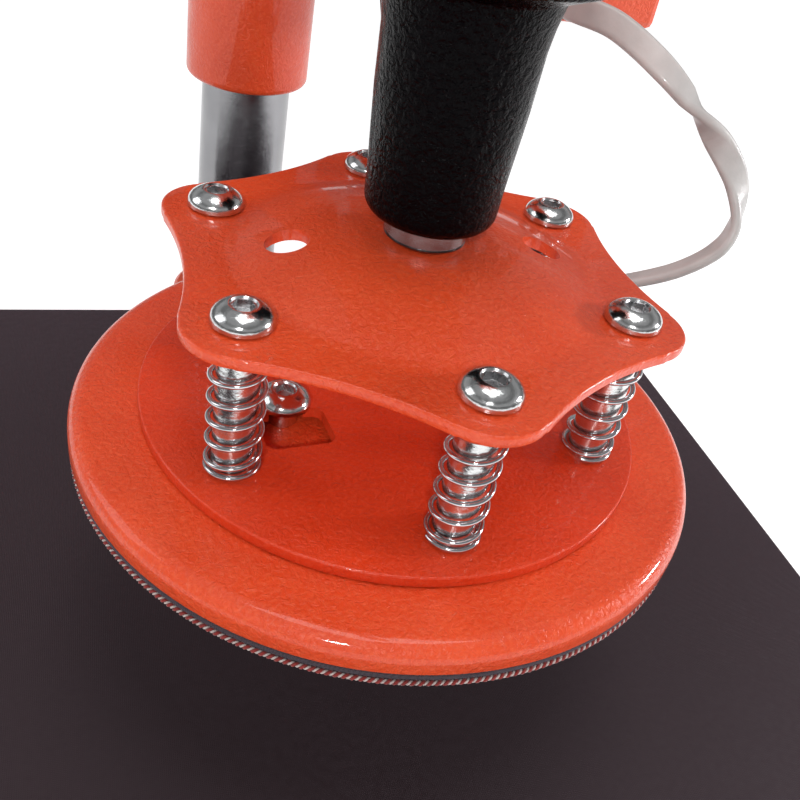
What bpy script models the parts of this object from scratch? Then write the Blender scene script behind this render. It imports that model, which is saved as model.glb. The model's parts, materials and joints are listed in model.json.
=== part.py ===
"""Swing-away heat press with a round spring-floating plate head.

Units are metres, +Z is up, the base stands on z = 0 and the origin is the
middle of the base footprint.  Everything carried by the swing arm is drawn in
the arm's own frame (origin on the column axis, -Y towards the operator) and
then turned by SWING_REST about the column.
"""
import math

import bmesh
import bpy
from mathutils import Matrix, Vector

# ---------------------------------------------------------------- dimensions
GAP = 0.0003                    # running gap between touching pieces

# base and lower platen
BASE_W, BASE_L, BASE_T = 0.300, 0.443, 0.025
FOOT_H, FOOT_R = 0.012, 0.016
BOARD_W, BOARD_D = 0.380, 0.350
BOARD_Y = -0.042                # middle of the lower platen
BOARD_TOP = 0.095
PAD_T, PLATEN_T = 0.007, 0.010

# column and swing arm
COLUMN_Y = 0.1665
COLUMN_R = 0.019
SWING_REST = math.radians(4.06)
ARM_REACH = 0.2085              # column axis to spindle axis
SLEEVE_R = 0.0259
BEAM_W, BEAM_H = 0.056, 0.040

# heights are counted from the top of the adapter disc
ADAPTER_TOP = BOARD_TOP + 0.08375
SLEEVE_BOTTOM = ADAPTER_TOP + 0.0153
BEAM_BOTTOM = ADAPTER_TOP + 0.120
BEAM_TOP = BEAM_BOTTOM + BEAM_H
TUBE_BOTTOM = ADAPTER_TOP + 0.0551
TUBE_R = 0.0169

# round plate head
BOLT_CIRCLE_R = 0.0556
BOLT_COUNT = 6
STAR_TOP = ADAPTER_TOP + 0.0414
SHEET_T = 0.003
LOBE_R, WAIST_R, ARC_R = 0.0138, 0.0588, 0.0980
DOME_R, DOME_H = 0.0471, 0.0076
SPINDLE_R = 0.0104
ADAPTER_R, ADAPTER_T = 0.0690, 0.0032
COVER_R, COVER_T, COVER_WALL, COVER_ROUND = 0.0866, 0.0078, 0.0016, 0.0046
STUD_R_POS, STUD_ANGLE = 0.0318, math.radians(187.0)
BAYONET_TURN = math.radians(19.0)
SPRING_R, SPRING_WIRE, SPRING_TURNS = 0.0071, 0.00070, 7.5
BOLT_HEAD_R, BOLT_HEAD_H = 0.0070, 0.0044
BOLT_R, STUD_R = 0.0045, 0.0040  # shoulder of the six screws, shank of the studs

# lever
CRANK_R = 0.062
CRANK_REST = math.radians(30.0)
LEVER_REST = math.radians(50.0)
LEVER_LENGTH = 0.300
PIVOT_Z = ADAPTER_TOP + 0.216
PIVOT_Y = -ARM_REACH + CRANK_R * math.cos(CRANK_REST)
PIN_Z = PIVOT_Z + CRANK_R * math.sin(CRANK_REST)
PIN_R = 0.0060
CHEEK_X, CHEEK_T = 0.0260, 0.006

# control box, in the arm frame
BOX_X0, BOX_X1 = 0.0420, 0.1415
BOX_Y0, BOX_Y1 = -0.0800, 0.0200
BOX_Z0, BOX_Z1 = ADAPTER_TOP + 0.0690, ADAPTER_TOP + 0.1990
SOCKET_X, SOCKET_Z = 0.0780, ADAPTER_TOP + 0.0850

# heater cable: where it enters the pan, and its centreline from plug to pan,
# counted from the spindle axis and the adapter's top face, in millimetres
GLAND_ANGLE = math.radians(38.0)
CABLE_RADIUS = 0.0034
CABLE = [(71.46, 94.9, 85.0), (71.67, 92.0, 85.1), (72.6, 88.6, 85.4), (83.0, 80.0, 83.5), (95.0, 65.0, 76.0),
         (109.0, 57.0, 64.5), (119.8, 51.5, 54.0), (126.0, 48.3, 45.0), (127.5, 44.5, 34.5), (124.0, 43.0, 25.0),
         (116.0, 48.0, 14.0), (106.0, 57.0, 4.0), (95.0, 66.0, -3.5), (86.0, 67.2, -6.6), (77.6, 60.6, -7.3)]

ORANGE = (0.80, 0.10, 0.028)
BLACK = (0.012, 0.012, 0.013)

# ------------------------------------------------------------------- set-up
for old in list(bpy.data.objects):
    bpy.data.objects.remove(old, do_unlink=True)

PRESS = bpy.data.collections.new("swing_away_heat_press")
CUTTERS = bpy.data.collections.new("cutters")
for coll in (PRESS, CUTTERS):
    bpy.context.scene.collection.children.link(coll)


def material(name, colour, metallic, roughness):
    mat = bpy.data.materials.new(name)
    mat.use_nodes = True
    shader = mat.node_tree.nodes["Principled BSDF"]
    shader.inputs["Base Color"].default_value = (*colour, 1.0)
    shader.inputs["Metallic"].default_value = metallic
    shader.inputs["Roughness"].default_value = roughness
    return mat


FINISH = {
    "orange": (ORANGE, 0.0, 0.35), "black": (BLACK, 0.0, 0.30),
    "chrome": ((0.80, 0.80, 0.82), 1.0, 0.10), "steel": ((0.62, 0.62, 0.64), 1.0, 0.30),
    "aluminium": ((0.72, 0.72, 0.74), 1.0, 0.40), "silicone": ((0.035, 0.032, 0.036), 0.0, 0.80),
    "rubber": ((0.02, 0.02, 0.02), 0.0, 0.85), "plastic": ((0.03, 0.03, 0.032), 0.0, 0.45),
    "white": ((0.82, 0.81, 0.79), 0.0, 0.50), "glass": ((0.02, 0.03, 0.03), 0.0, 0.08),
    "welt": ((0.35, 0.05, 0.04), 0.0, 0.85), "key": ((0.55, 0.56, 0.58), 0.0, 0.50),
    "red": ((0.55, 0.03, 0.02), 0.0, 0.40),
}


def link(name, mesh, finish, at, cutter=False):
    obj = bpy.data.objects.new(name, mesh)
    obj.location = at
    if cutter:
        CUTTERS.objects.link(obj)
        obj.hide_render = True
        obj.display_type = "WIRE"
    else:
        PRESS.objects.link(obj)
        mesh.materials.append(material(name + "_mat", *FINISH[finish]))
    return obj


def from_bmesh(name, bm, finish, at, cutter=False):
    bmesh.ops.recalc_face_normals(bm, faces=bm.faces)
    mesh = bpy.data.meshes.new(name)
    bm.to_mesh(mesh)
    bm.free()
    return link(name, mesh, finish, at, cutter)


def box(name, size, at, finish="steel", round_by=0.0, cutter=False, segments=2):
    bm = bmesh.new()
    bmesh.ops.create_cube(bm, size=1.0)
    bmesh.ops.scale(bm, vec=size, verts=bm.verts)
    obj = from_bmesh(name, bm, finish, at, cutter)
    if round_by:
        bevel(obj, round_by, segments)
    return obj


def rod(name, radius, length, at, axis="Z", finish="steel", sides=24, round_by=0.0, cutter=False):
    bm = bmesh.new()
    bmesh.ops.create_cone(bm, cap_ends=True, segments=sides, radius1=radius, radius2=radius, depth=length)
    turn = {"Z": Matrix.Identity(3), "X": Matrix.Rotation(math.pi / 2, 3, "Y"),
            "Y": Matrix.Rotation(math.pi / 2, 3, "X")}[axis]
    bmesh.ops.transform(bm, matrix=turn.to_4x4(), verts=bm.verts)
    obj = from_bmesh(name, bm, finish, at, cutter)
    if round_by:
        bevel(obj, round_by, 2)
    return obj


def bevel(obj, width, segments=2, angle=40.0):
    mod = obj.modifiers.new("edge", "BEVEL")
    mod.width = width
    mod.segments = segments
    mod.limit_method = "ANGLE"
    mod.angle_limit = math.radians(angle)


def turned(name, profile, at, finish, steps=48, ring=False, cutter=False):
    """Revolve an (r, z) profile; ring profiles close on themselves."""
    mesh = bpy.data.meshes.new(name)
    edges = [(i, i + 1) for i in range(len(profile) - 1)]
    if ring:
        edges.append((len(profile) - 1, 0))
    mesh.from_pydata([(r, 0.0, z) for r, z in profile], edges, [])
    obj = link(name, mesh, finish, at, cutter)
    mod = obj.modifiers.new("turn", "SCREW")
    mod.steps = mod.render_steps = steps
    mod.use_merge_vertices = True
    mod.merge_threshold = 0.00001
    return obj


def arc(cx, cz, radius, start, end, count):
    """Points of a circular arc; angles in degrees, both ends included."""
    return [(cx + radius * math.cos(math.radians(start + (end - start) * k / count)),
             cz + radius * math.sin(math.radians(start + (end - start) * k / count)))
            for k in range(count + 1)]


def plate(name, outline, thickness, at, finish, holes=(), edge=0.0, axis="Z", cutter=False, turn=0.0):
    """Flat plate from a closed outline; holes are further closed outlines."""
    curve = bpy.data.curves.new(name, "CURVE")
    curve.dimensions = "2D"
    curve.fill_mode = "BOTH"
    curve.extrude = thickness / 2 - edge
    curve.bevel_depth = edge
    curve.bevel_resolution = 1
    curve.offset = -edge
    for points in [outline, *holes]:
        spline = curve.splines.new("POLY")
        spline.points.add(len(points) - 1)
        for point, (x, y) in zip(spline.points, points):
            point.co = (x, y, 0.0, 1.0)
        spline.use_cyclic_u = True
    temp = bpy.data.objects.new(name + "_curve", curve)
    bpy.context.scene.collection.objects.link(temp)
    mesh = bpy.data.meshes.new_from_object(temp.evaluated_get(bpy.context.evaluated_depsgraph_get()))
    bpy.data.objects.remove(temp, do_unlink=True)
    bm = bmesh.new()
    bm.from_mesh(mesh)
    bmesh.ops.remove_doubles(bm, verts=bm.verts, dist=0.00001)
    spin = {"Z": Matrix.Identity(4), "X": Matrix.Rotation(math.pi / 2, 4, "Z") @ Matrix.Rotation(math.pi / 2, 4, "X"),
            "Y": Matrix.Rotation(math.pi / 2, 4, "X")}[axis]
    bmesh.ops.transform(bm, matrix=spin @ Matrix.Rotation(turn, 4, "Z"), verts=bm.verts)
    return from_bmesh(name, bm, finish, at, cutter)


def circle(cx, cy, radius, count=20):
    return [(cx + radius * math.cos(2 * math.pi * k / count), cy + radius * math.sin(2 * math.pi * k / count))
            for k in range(count)]


def rounded_rect(cx, cy, width, depth, radius, count=4):
    points = []
    for k, (sx, sy) in enumerate(((1, 1), (-1, 1), (-1, -1), (1, -1))):
        points += arc(cx + sx * (width / 2 - radius), cy + sy * (depth / 2 - radius), radius, 90 * k, 90 * k + 90, count)
    return points


def hull(circles, count=24):
    """Convex outline round several circles."""
    cloud = sorted({(round(x, 7), round(y, 7)) for c in circles for x, y in circle(*c, count)})

    def half(points):
        chain = []
        for p in points:
            while len(chain) > 1 and ((chain[-1][0] - chain[-2][0]) * (p[1] - chain[-2][1])
                                      - (chain[-1][1] - chain[-2][1]) * (p[0] - chain[-2][0])) <= 0:
                chain.pop()
            chain.append(p)
        return chain[:-1]

    return half(cloud) + half(cloud[::-1])


def boolean(obj, other, operation="DIFFERENCE"):
    mod = obj.modifiers.new(operation.lower(), "BOOLEAN")
    mod.solver = "EXACT"
    mod.operation = operation
    mod.object = other


def swing(objects):
    """Turn pieces drawn in the arm frame to where the arm stands at rest."""
    frame = Matrix.Translation((0.0, COLUMN_Y, 0.0)) @ Matrix.Rotation(SWING_REST, 4, "Z")
    bpy.context.view_layer.update()
    for obj in objects:
        obj.matrix_world = frame @ obj.matrix_world


# --------------------------------------------------------------------- base
def build_base():
    deck = FOOT_H + GAP + BASE_T / 2
    windows = [rounded_rect(0, -0.120, 0.210, 0.130, 0.012), rounded_rect(0, 0.030, 0.210, 0.110, 0.012)]
    frame = plate("base_frame", rounded_rect(0, 0, BASE_W, BASE_L, 0.020), BASE_T, (0, 0, deck), "orange",
                  holes=windows, edge=0.002)
    # the frame is open below, with solid corners over the feet
    for k, (x, y, w, d) in enumerate(((-0.1275, 0, 0.037, 0.340), (0.1275, 0, 0.037, 0.340), (0, 0.1530, 0.202, 0.127),
                                      (0, -0.2030, 0.202, 0.028), (0, -0.0400, 0.202, 0.022))):
        boolean(frame, box(f"frame_pocket_{k}", (w, d, BASE_T), (x, y, deck - 0.004), cutter=True))
    for k, (sx, sy) in enumerate(((1, 1), (-1, 1), (-1, -1), (1, -1)), 1):
        turned(f"foot_{k}", [(0, FOOT_H), (FOOT_R * 0.8, FOOT_H), (FOOT_R, FOOT_H * 0.3), (FOOT_R * 0.94, 0), (0, 0)],
               (sx * (BASE_W / 2 - 0.022), sy * (BASE_L / 2 - 0.024), 0), "rubber", steps=20)
    deck_top = FOOT_H + GAP + BASE_T
    platen_low = BOARD_TOP - PAD_T - GAP - PLATEN_T
    height = platen_low - deck_top - 2 * GAP
    plate("platen_stand", rounded_rect(0, 0, 0.270, 0.260, 0.012), height,
          (0, BOARD_Y, deck_top + GAP + height / 2), "black", holes=[rounded_rect(0, 0, 0.254, 0.244, 0.006)])
    plate("lower_platen", rounded_rect(0, 0, BOARD_W - 0.003, BOARD_D - 0.003, 0.008), PLATEN_T,
          (0, BOARD_Y, platen_low + PLATEN_T / 2), "aluminium", edge=0.001)
    plate("lower_pad", rounded_rect(0, 0, BOARD_W, BOARD_D, 0.006), PAD_T,
          (0, BOARD_Y, BOARD_TOP - PAD_T / 2), "silicone", edge=0.0008)
    turned("column_socket", [(COLUMN_R + GAP, deck_top + GAP), (COLUMN_R + GAP, 0.088), (0.0270, 0.088), (0.0290, 0.086),
                             (0.0290, deck_top + 0.016), (0.0320, deck_top + 0.009), (0.0440, deck_top + 0.008),
                             (0.0440, deck_top + GAP)],
           (0, COLUMN_Y, 0), "orange", steps=32, ring=True)
    top = BEAM_TOP + 0.012
    turned("column_post", [(0.0150, deck_top + 2 * GAP), (0.0150, top), (COLUMN_R - 0.001, top), (COLUMN_R, top - 0.001),
                           (COLUMN_R, deck_top + 2 * GAP)], (0, COLUMN_Y, 0), "chrome", steps=36, ring=True)


# ---------------------------------------------------------------- swing arm
def build_arm():
    made = []
    post_top = BEAM_TOP + 0.012
    cap = post_top + GAP + 0.008
    profile = [(0, cap), (SLEEVE_R - 0.004, cap), (SLEEVE_R, cap - 0.004), (SLEEVE_R, SLEEVE_BOTTOM + 0.0028)]
    profile += arc(SLEEVE_R - 0.0028, SLEEVE_BOTTOM + 0.0028, 0.0028, -22, -90, 3)
    profile += [(COLUMN_R + GAP, SLEEVE_BOTTOM), (COLUMN_R + GAP, post_top + GAP), (0, post_top + GAP)]
    arm = turned("swing_arm", profile, (0, 0, 0), "orange", steps=36)
    front = ARM_REACH + 0.030
    beam = box("beam_body", (BEAM_W, front - 0.021, BEAM_H), (0, -(front + 0.021) / 2, BEAM_BOTTOM + BEAM_H / 2),
               round_by=0.004, cutter=True)
    boolean(arm, beam, "UNION")
    hollow = box("beam_hollow", (BEAM_W - 0.006, front - 0.033, BEAM_H - 0.006), (0, -(front + 0.027) / 2, BEAM_BOTTOM + BEAM_H / 2), cutter=True)
    boolean(arm, hollow)
    bore = rod("arm_bore", SPINDLE_R + 0.0006, 0.12, (0, -ARM_REACH, BEAM_BOTTOM + 0.02), sides=32, cutter=True)
    lock_bore = rod("lock_bore", 0.0043, 0.030, (-0.030, 0, BEAM_BOTTOM + 0.010), "X", sides=16, cutter=True)
    boolean(arm, bore)
    boolean(arm, lock_bore)
    made += [arm, beam, hollow, bore, lock_bore]

    # lever bracket: a U-shaped channel standing on the beam
    z0 = BEAM_TOP + GAP
    w, t, high = 0.0235, 0.0055, PIVOT_Z + 0.014 - z0
    outline = [(-w, 0), (w, 0), (w, high), (w - t, high), (w - t, t), (-w + t, t), (-w + t, high), (-w, high)]
    bracket = plate("lever_bracket", outline, 0.034, (0, PIVOT_Y, z0), "orange", axis="Y")
    bevel(bracket, 0.0010, 1)
    bracket_bore = rod("bracket_bore", PIN_R + GAP, 0.060, (0, PIVOT_Y, PIVOT_Z), "X", sides=24, cutter=True)
    boolean(bracket, bracket_bore)
    pin = rod("pivot_pin", PIN_R, 0.072, (0, PIVOT_Y, PIVOT_Z), "X", "chrome", sides=24, round_by=0.0010)
    made += [bracket, bracket_bore, pin]

    # black guide tube with its web, hung under the beam
    top = BEAM_BOTTOM - GAP
    flare = ADAPTER_TOP + 0.0995
    bore_r = SPINDLE_R + GAP
    outer = [(0.0300, top), (0.0300, top - 0.006), (0.0195, top - 0.010), (0.0180, flare + 0.003), (0.0173, flare),
             (0.0171, ADAPTER_TOP + 0.0850), (TUBE_R + 0.0001, ADAPTER_TOP + 0.0760), (TUBE_R - 0.0004, ADAPTER_TOP + 0.0660)]
    outer += arc(TUBE_R - 0.0046, TUBE_BOTTOM + 0.0042, 0.0042, 0, -90, 4)
    tube = turned("guide_tube", outer + [(bore_r, TUBE_BOTTOM), (bore_r, top)], (0, -ARM_REACH, 0), "black",
                  steps=32, ring=True)
    z = ADAPTER_TOP
    web = plate("tube_web", [(0.0135, z + 0.066), (0.0410, z + 0.085), (0.0470, z + 0.093), (0.0590, top), (0.0135, top)],
                0.008, (0, -ARM_REACH, 0), "black", axis="X", cutter=True)
    boolean(tube, web, "UNION")
    made += [tube, web]

    # control box on its bracket
    cx, cy, cz = (BOX_X0 + BOX_X1) / 2, (BOX_Y0 + BOX_Y1) / 2, (BOX_Z0 + BOX_Z1) / 2
    housing = box("control_box", (BOX_X1 - BOX_X0, BOX_Y1 - BOX_Y0, BOX_Z1 - BOX_Z0), (cx, cy, cz), "orange", round_by=0.003)
    x0, x1 = BEAM_W / 2 + GAP, BOX_X0 - GAP
    bracket2 = box("box_bracket", (x1 - x0, 0.060, 0.030), ((x0 + x1) / 2, cy, BEAM_BOTTOM + BEAM_H / 2), "black", round_by=0.001)
    inside = box("box_inside", (BOX_X1 - BOX_X0 - 0.004, BOX_Y1 - BOX_Y0 - 0.004, BOX_Z1 - BOX_Z0 - 0.004), (cx, cy, cz), cutter=True)
    key_z = BOX_Z0 + 0.052
    panel_y = BOX_Y0 - GAP
    holes = [rod(f"key_hole_{k}", 0.0066, 0.060, (cx + (k - 1) * 0.026, BOX_Y0, key_z), "Y", sides=20, cutter=True) for k in range(3)]
    switch_hole = box("switch_hole", (0.020, 0.0142, 0.0238), (BOX_X1, cy, BOX_Z0 + 0.060), cutter=True)
    inlet_hole = box("inlet_hole", (0.0284, 0.020, 0.0204), (cx, BOX_Y1, BOX_Z0 + 0.036), cutter=True)
    socket_hole = rod("socket_hole", 0.0083, 0.020, (SOCKET_X, BOX_Y0, SOCKET_Z), "Y", sides=24, cutter=True)
    for cut in (inside, *holes, switch_hole, inlet_hole, socket_hole):
        boolean(housing, cut)
    panel = box("control_panel", (0.086, 0.003, 0.086), (cx, panel_y - 0.0015, BOX_Z0 + 0.083), "plastic", round_by=0.001, segments=1)
    for cut in holes:
        boolean(panel, cut)
    window = box("display_window", (0.062, 0.0016, 0.028), (cx, panel_y - 0.003 - GAP - 0.0008, BOX_Z0 + 0.098), "glass", round_by=0.0004, segments=1)
    made += [housing, bracket2, inside, *holes, switch_hole, inlet_hole, socket_hole, panel, window]
    for k, name in enumerate(("key_down", "key_set", "key_up")):
        made.append(turned_y(name, [(0, 0.0030), (0.0050, 0.0030), (0.0062, 0.0018), (0.0062, -0.0060), (0, -0.0060)],
                             (cx + (k - 1) * 0.026, panel_y - 0.003, key_z), "key", 20))
    rocker = plate("power_rocker", [(-0.0060, -0.0104), (0.0034, -0.0104), (0.0010, 0.0), (0.0016, 0.0104), (-0.0060, 0.0104)],
                   0.0134, (BOX_X1, cy, BOX_Z0 + 0.060), "red", axis="Y")
    made.append(rocker)
    inlet = box("mains_inlet", (0.0278, 0.016, 0.0198), (cx, BOX_Y1 - 0.005, BOX_Z0 + 0.036), "plastic", round_by=0.001, segments=1)
    pocket = box("inlet_pocket", (0.0220, 0.016, 0.0140), (cx, BOX_Y1 + 0.0010, BOX_Z0 + 0.036), cutter=True)
    boolean(inlet, pocket)
    made += [inlet, pocket]
    made.append(turned_y("heater_socket", [(0, 0.0080), (0.0080, 0.0080), (0.0080, 0.0016), (0.0110, 0.0016), (0.0110, GAP),
                                           (0.0080, GAP), (0.0080, -0.0080), (0, -0.0080)],
                         (SOCKET_X, BOX_Y0, SOCKET_Z), "chrome", 24))
    made.append(turned_y("cable_plug", [(0, 0.0380), (0.0048, 0.0380), (0.0062, 0.0290), (0.0070, 0.0280), (0.0090, 0.0260),
                                        (0.0090, 0.0090), (0.0084, 0.0080 + GAP), (0, 0.0080 + GAP)],
                         (SOCKET_X, BOX_Y0, SOCKET_Z), "plastic", 24))

    # hand screw that locks the swing
    made.append(turned_y("swing_lock_knob", [(0, 0.0300), (0.0120, 0.0300), (0.0145, 0.0270), (0.0145, 0.0150), (0.0120, 0.0120),
                                             (0.0080, 0.0110), (0.0080, 0.0003), (0.0040, 0.0003), (0.0040, -0.0055), (0, -0.0055)],
                         (-SLEEVE_R - 0.0005, 0, BEAM_BOTTOM + 0.010), "plastic", 24, -math.pi / 2))
    return made


def turned_y(name, profile, at, finish, steps, heading=0.0):
    """Turned piece whose nose points to -Y, or to another side by heading."""
    obj = turned(name, profile, at, finish, steps)
    obj.rotation_euler = (math.pi / 2, 0.0, heading)
    return obj


# -------------------------------------------------------------------- lever
def build_lever():
    def along(angle, radius):
        return (-radius * math.cos(angle), radius * math.sin(angle))

    pin = along(CRANK_REST, CRANK_R)
    end = along(LEVER_REST, 0.130)
    outline = hull([(0, 0, 0.0140), (*pin, 0.0120), (*end, 0.0115)], 20)
    holes = [circle(0, 0, PIN_R + GAP, 24), circle(*pin, PIN_R + GAP, 24)]
    at = (0, PIVOT_Y, PIVOT_Z)
    x = CHEEK_X + CHEEK_T / 2
    lever = plate("lever", outline, CHEEK_T, (x, at[1], at[2]), "orange", holes=holes, axis="X")
    other = plate("lever_cheek", outline, CHEEK_T, (-x, at[1], at[2]), "orange", holes=holes, axis="X", cutter=True)
    tilt = Matrix.Rotation(-LEVER_REST, 4, "X")
    yoke = box("lever_block", (2 * CHEEK_X + 0.004, 0.020, 0.018), (0, at[1] + end[0], at[2] + end[1]), round_by=0.002, cutter=True)
    yoke.rotation_euler = tilt.to_euler()
    mid = along(LEVER_REST, (0.132 + LEVER_LENGTH) / 2)
    shaft = rod("lever_shaft", 0.0095, LEVER_LENGTH - 0.132, (0, at[1] + mid[0], at[2] + mid[1]), "Y", sides=20, cutter=True)
    shaft.rotation_euler = tilt.to_euler()
    for part in (other, yoke, shaft):
        boolean(lever, part, "UNION")
    grip_mid = along(LEVER_REST, LEVER_LENGTH - 0.052)
    grip = turned("lever_grip", [(0, 0.0590), (0.0110, 0.0590), (0.0150, 0.0550), (0.0160, 0.0300), (0.0152, 0.0050),
                                 (0.0160, -0.0200), (0.0150, -0.0560), (0.0130, -0.0590), (0.0095 + GAP, -0.0590),
                                 (0.0095 + GAP, 0.0525), (0, 0.0525)],
                  (0, at[1] + grip_mid[0], at[2] + grip_mid[1]), "rubber", 28)
    grip.rotation_euler = (math.pi / 2 - LEVER_REST, 0, 0)
    crank = rod("crank_pin", PIN_R, 0.067, (0, at[1] + pin[0], at[2] + pin[1]), "X", "chrome", sides=24, round_by=0.0010)
    return [lever, other, yoke, shaft, grip, crank]


# ------------------------------------------------------------ press spindle
def build_spindle():
    y = -ARM_REACH
    yoke_low, yoke_high = PIN_Z - 0.018, PIN_Z + 0.018
    centre_top = STAR_TOP + DOME_H
    spindle = turned("spindle", [(0, yoke_low + 0.008), (0.0058, yoke_low + 0.008), (0.0058, yoke_low - GAP),
                                 (SPINDLE_R - 0.0006, yoke_low - GAP), (SPINDLE_R, yoke_low - GAP - 0.0006),
                                 (SPINDLE_R, centre_top + GAP + 0.0006), (SPINDLE_R - 0.0006, centre_top + GAP),
                                 (0.0058, centre_top + GAP), (0.0058, STAR_TOP - 0.0060), (0, STAR_TOP - 0.0060)],
                     (0, y, 0), "steel", steps=32)
    nut = plate("spindle_nut", circle(0, 0, 0.0098, 6), 0.0080, (0, y, centre_top - SHEET_T - GAP - 0.0040), "chrome",
                holes=[circle(0, 0, 0.0061, 24)])
    travel = CRANK_R * (1 - math.cos(CRANK_REST))
    yoke = box("lift_yoke", (0.026, 0.042, yoke_high - yoke_low), (0, y - travel / 2, PIN_Z), "black", round_by=0.002)
    slot = plate("yoke_slot", hull([(0, 0, PIN_R + 0.0008), (-travel, 0, PIN_R + 0.0008)], 24), 0.040, (0, y, PIN_Z),
                 "steel", axis="X", cutter=True)
    low_bore = rod("yoke_low_bore", 0.0061, 0.0166, (0, y, yoke_low), sides=24, cutter=True)
    top_bore = rod("yoke_top_bore", 0.0053, 0.0180, (0, y, yoke_high), sides=24, cutter=True)
    for cut in (slot, low_bore, top_bore):
        boolean(yoke, cut)
    screw = turned("pressure_screw", [(0, yoke_high + 0.0285), (0.0050, yoke_high + 0.0285), (0.0050, yoke_high - 0.0082), (0, yoke_high - 0.0082)],
                   (0, y, 0), "chrome", steps=24)
    lobes = []
    for k in range(48):
        a = 2 * math.pi * k / 48
        lobes.append(((0.0200 + 0.0012 * math.cos(8 * a)) * math.cos(a), (0.0200 + 0.0012 * math.cos(8 * a)) * math.sin(a)))
    knob = plate("pressure_knob", lobes, 0.0200, (0, y, yoke_high + 0.0210), "plastic", edge=0.0016)
    knob_bore = rod("knob_bore", 0.0053, 0.0200, (0, y, yoke_high + 0.0190), sides=24, cutter=True)
    boolean(knob, knob_bore)
    return [spindle, nut, yoke, slot, low_bore, top_bore, screw, knob, knob_bore]


# --------------------------------------------------------------- plate head
def star_outline():
    """Six round lobes joined by shallow concave arcs."""
    points = []
    step = 2 * math.pi / BOLT_COUNT
    far = WAIST_R + ARC_R
    for k in range(BOLT_COUNT):
        a = k * step
        lobe = Vector((BOLT_CIRCLE_R * math.cos(a), BOLT_CIRCLE_R * math.sin(a)))
        before, after = (Vector((far * math.cos(a + s * step / 2), far * math.sin(a + s * step / 2))) for s in (-1, 1))
        start, end = (math.atan2(*(c - lobe).yx) for c in (before, after))
        while end < start:
            end += 2 * math.pi
        for j in range(9):
            b = start + (end - start) * j / 8
            points.append((lobe.x + LOBE_R * math.cos(b), lobe.y + LOBE_R * math.sin(b)))
        nxt = Vector((BOLT_CIRCLE_R * math.cos(a + step), BOLT_CIRCLE_R * math.sin(a + step)))
        s0, s1 = (math.atan2(*(p - after).yx) for p in (lobe, nxt))
        while s0 - s1 > math.pi:
            s1 += 2 * math.pi
        while s1 - s0 > math.pi:
            s1 -= 2 * math.pi
        for j in range(1, 6):
            b = s0 + (s1 - s0) * j / 6
            r = (after - lobe).length - LOBE_R
            points.append((after.x + r * math.cos(b), after.y + r * math.sin(b)))
    return points


def dome_profile(count=5):
    """Height of the pressed dome over the flat rim, from centre to rim."""
    flat, rim = 0.0125, DOME_R
    points = [(0.0, DOME_H), (flat, DOME_H)]
    for k in range(1, count + 1):
        t = k / count
        points.append((flat + (rim - flat) * t, DOME_H * (1 - t ** 1.7)))
    return points


def spring_points(z_low, z_high, per_turn=7):
    """Coil with a closed turn at each end."""
    points = []
    pitch_end = 2.15 * SPRING_WIRE
    middle = (z_high - z_low - 2 * pitch_end) / (SPRING_TURNS - 2)
    count = round(SPRING_TURNS * per_turn)
    for k in range(count + 1):
        n = SPRING_TURNS * k / count
        if n < 1:
            z = z_low + pitch_end * n
        elif n > SPRING_TURNS - 1:
            z = z_high - pitch_end * (SPRING_TURNS - n)
        else:
            z = z_low + pitch_end + middle * (n - 1)
        r = SPRING_R - SPRING_WIRE
        points.append((r * math.cos(2 * math.pi * n), r * math.sin(2 * math.pi * n), z))
    return points


def wire(name, points, radius, at, finish, resolution=1):
    curve = bpy.data.curves.new(name, "CURVE")
    curve.dimensions = "3D"
    curve.bevel_depth = radius
    curve.bevel_resolution = resolution
    curve.use_fill_caps = True
    spline = curve.splines.new("POLY")
    spline.points.add(len(points) - 1)
    for point, co in zip(spline.points, points):
        point.co = (*co, 1.0)
    temp = bpy.data.objects.new(name + "_curve", curve)
    bpy.context.scene.collection.objects.link(temp)
    mesh = bpy.data.meshes.new_from_object(temp.evaluated_get(bpy.context.evaluated_depsgraph_get()))
    bpy.data.objects.remove(temp, do_unlink=True)
    bm = bmesh.new()
    bm.from_mesh(mesh)
    bmesh.ops.remove_doubles(bm, verts=bm.verts, dist=0.00001)
    return from_bmesh(name, bm, finish, at)


def button_bolt(name, at, shank, radius=BOLT_R, finish="chrome"):
    """Button-head screw, seat at z = 0 of the object, hexagon socket on top."""
    profile = [(0, BOLT_HEAD_H), (0.0030, BOLT_HEAD_H)]
    profile += [(0.0030 + 0.0038 * math.sin(math.radians(a)), 0.0010 + (BOLT_HEAD_H - 0.0010) * math.cos(math.radians(a)))
                for a in (25, 48, 70)]
    profile += [(BOLT_HEAD_R, 0.0006), (BOLT_HEAD_R - 0.0003, 0), (radius, 0), (radius, -shank), (0, -shank)]
    obj = turned(name, profile, at, finish, steps=20)
    socket = plate(name + "_socket", circle(0, 0, 0.0029, 6), 0.0052, (at[0], at[1], at[2] + BOLT_HEAD_H), "steel", cutter=True)
    boolean(obj, socket)
    return [obj, socket]


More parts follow.
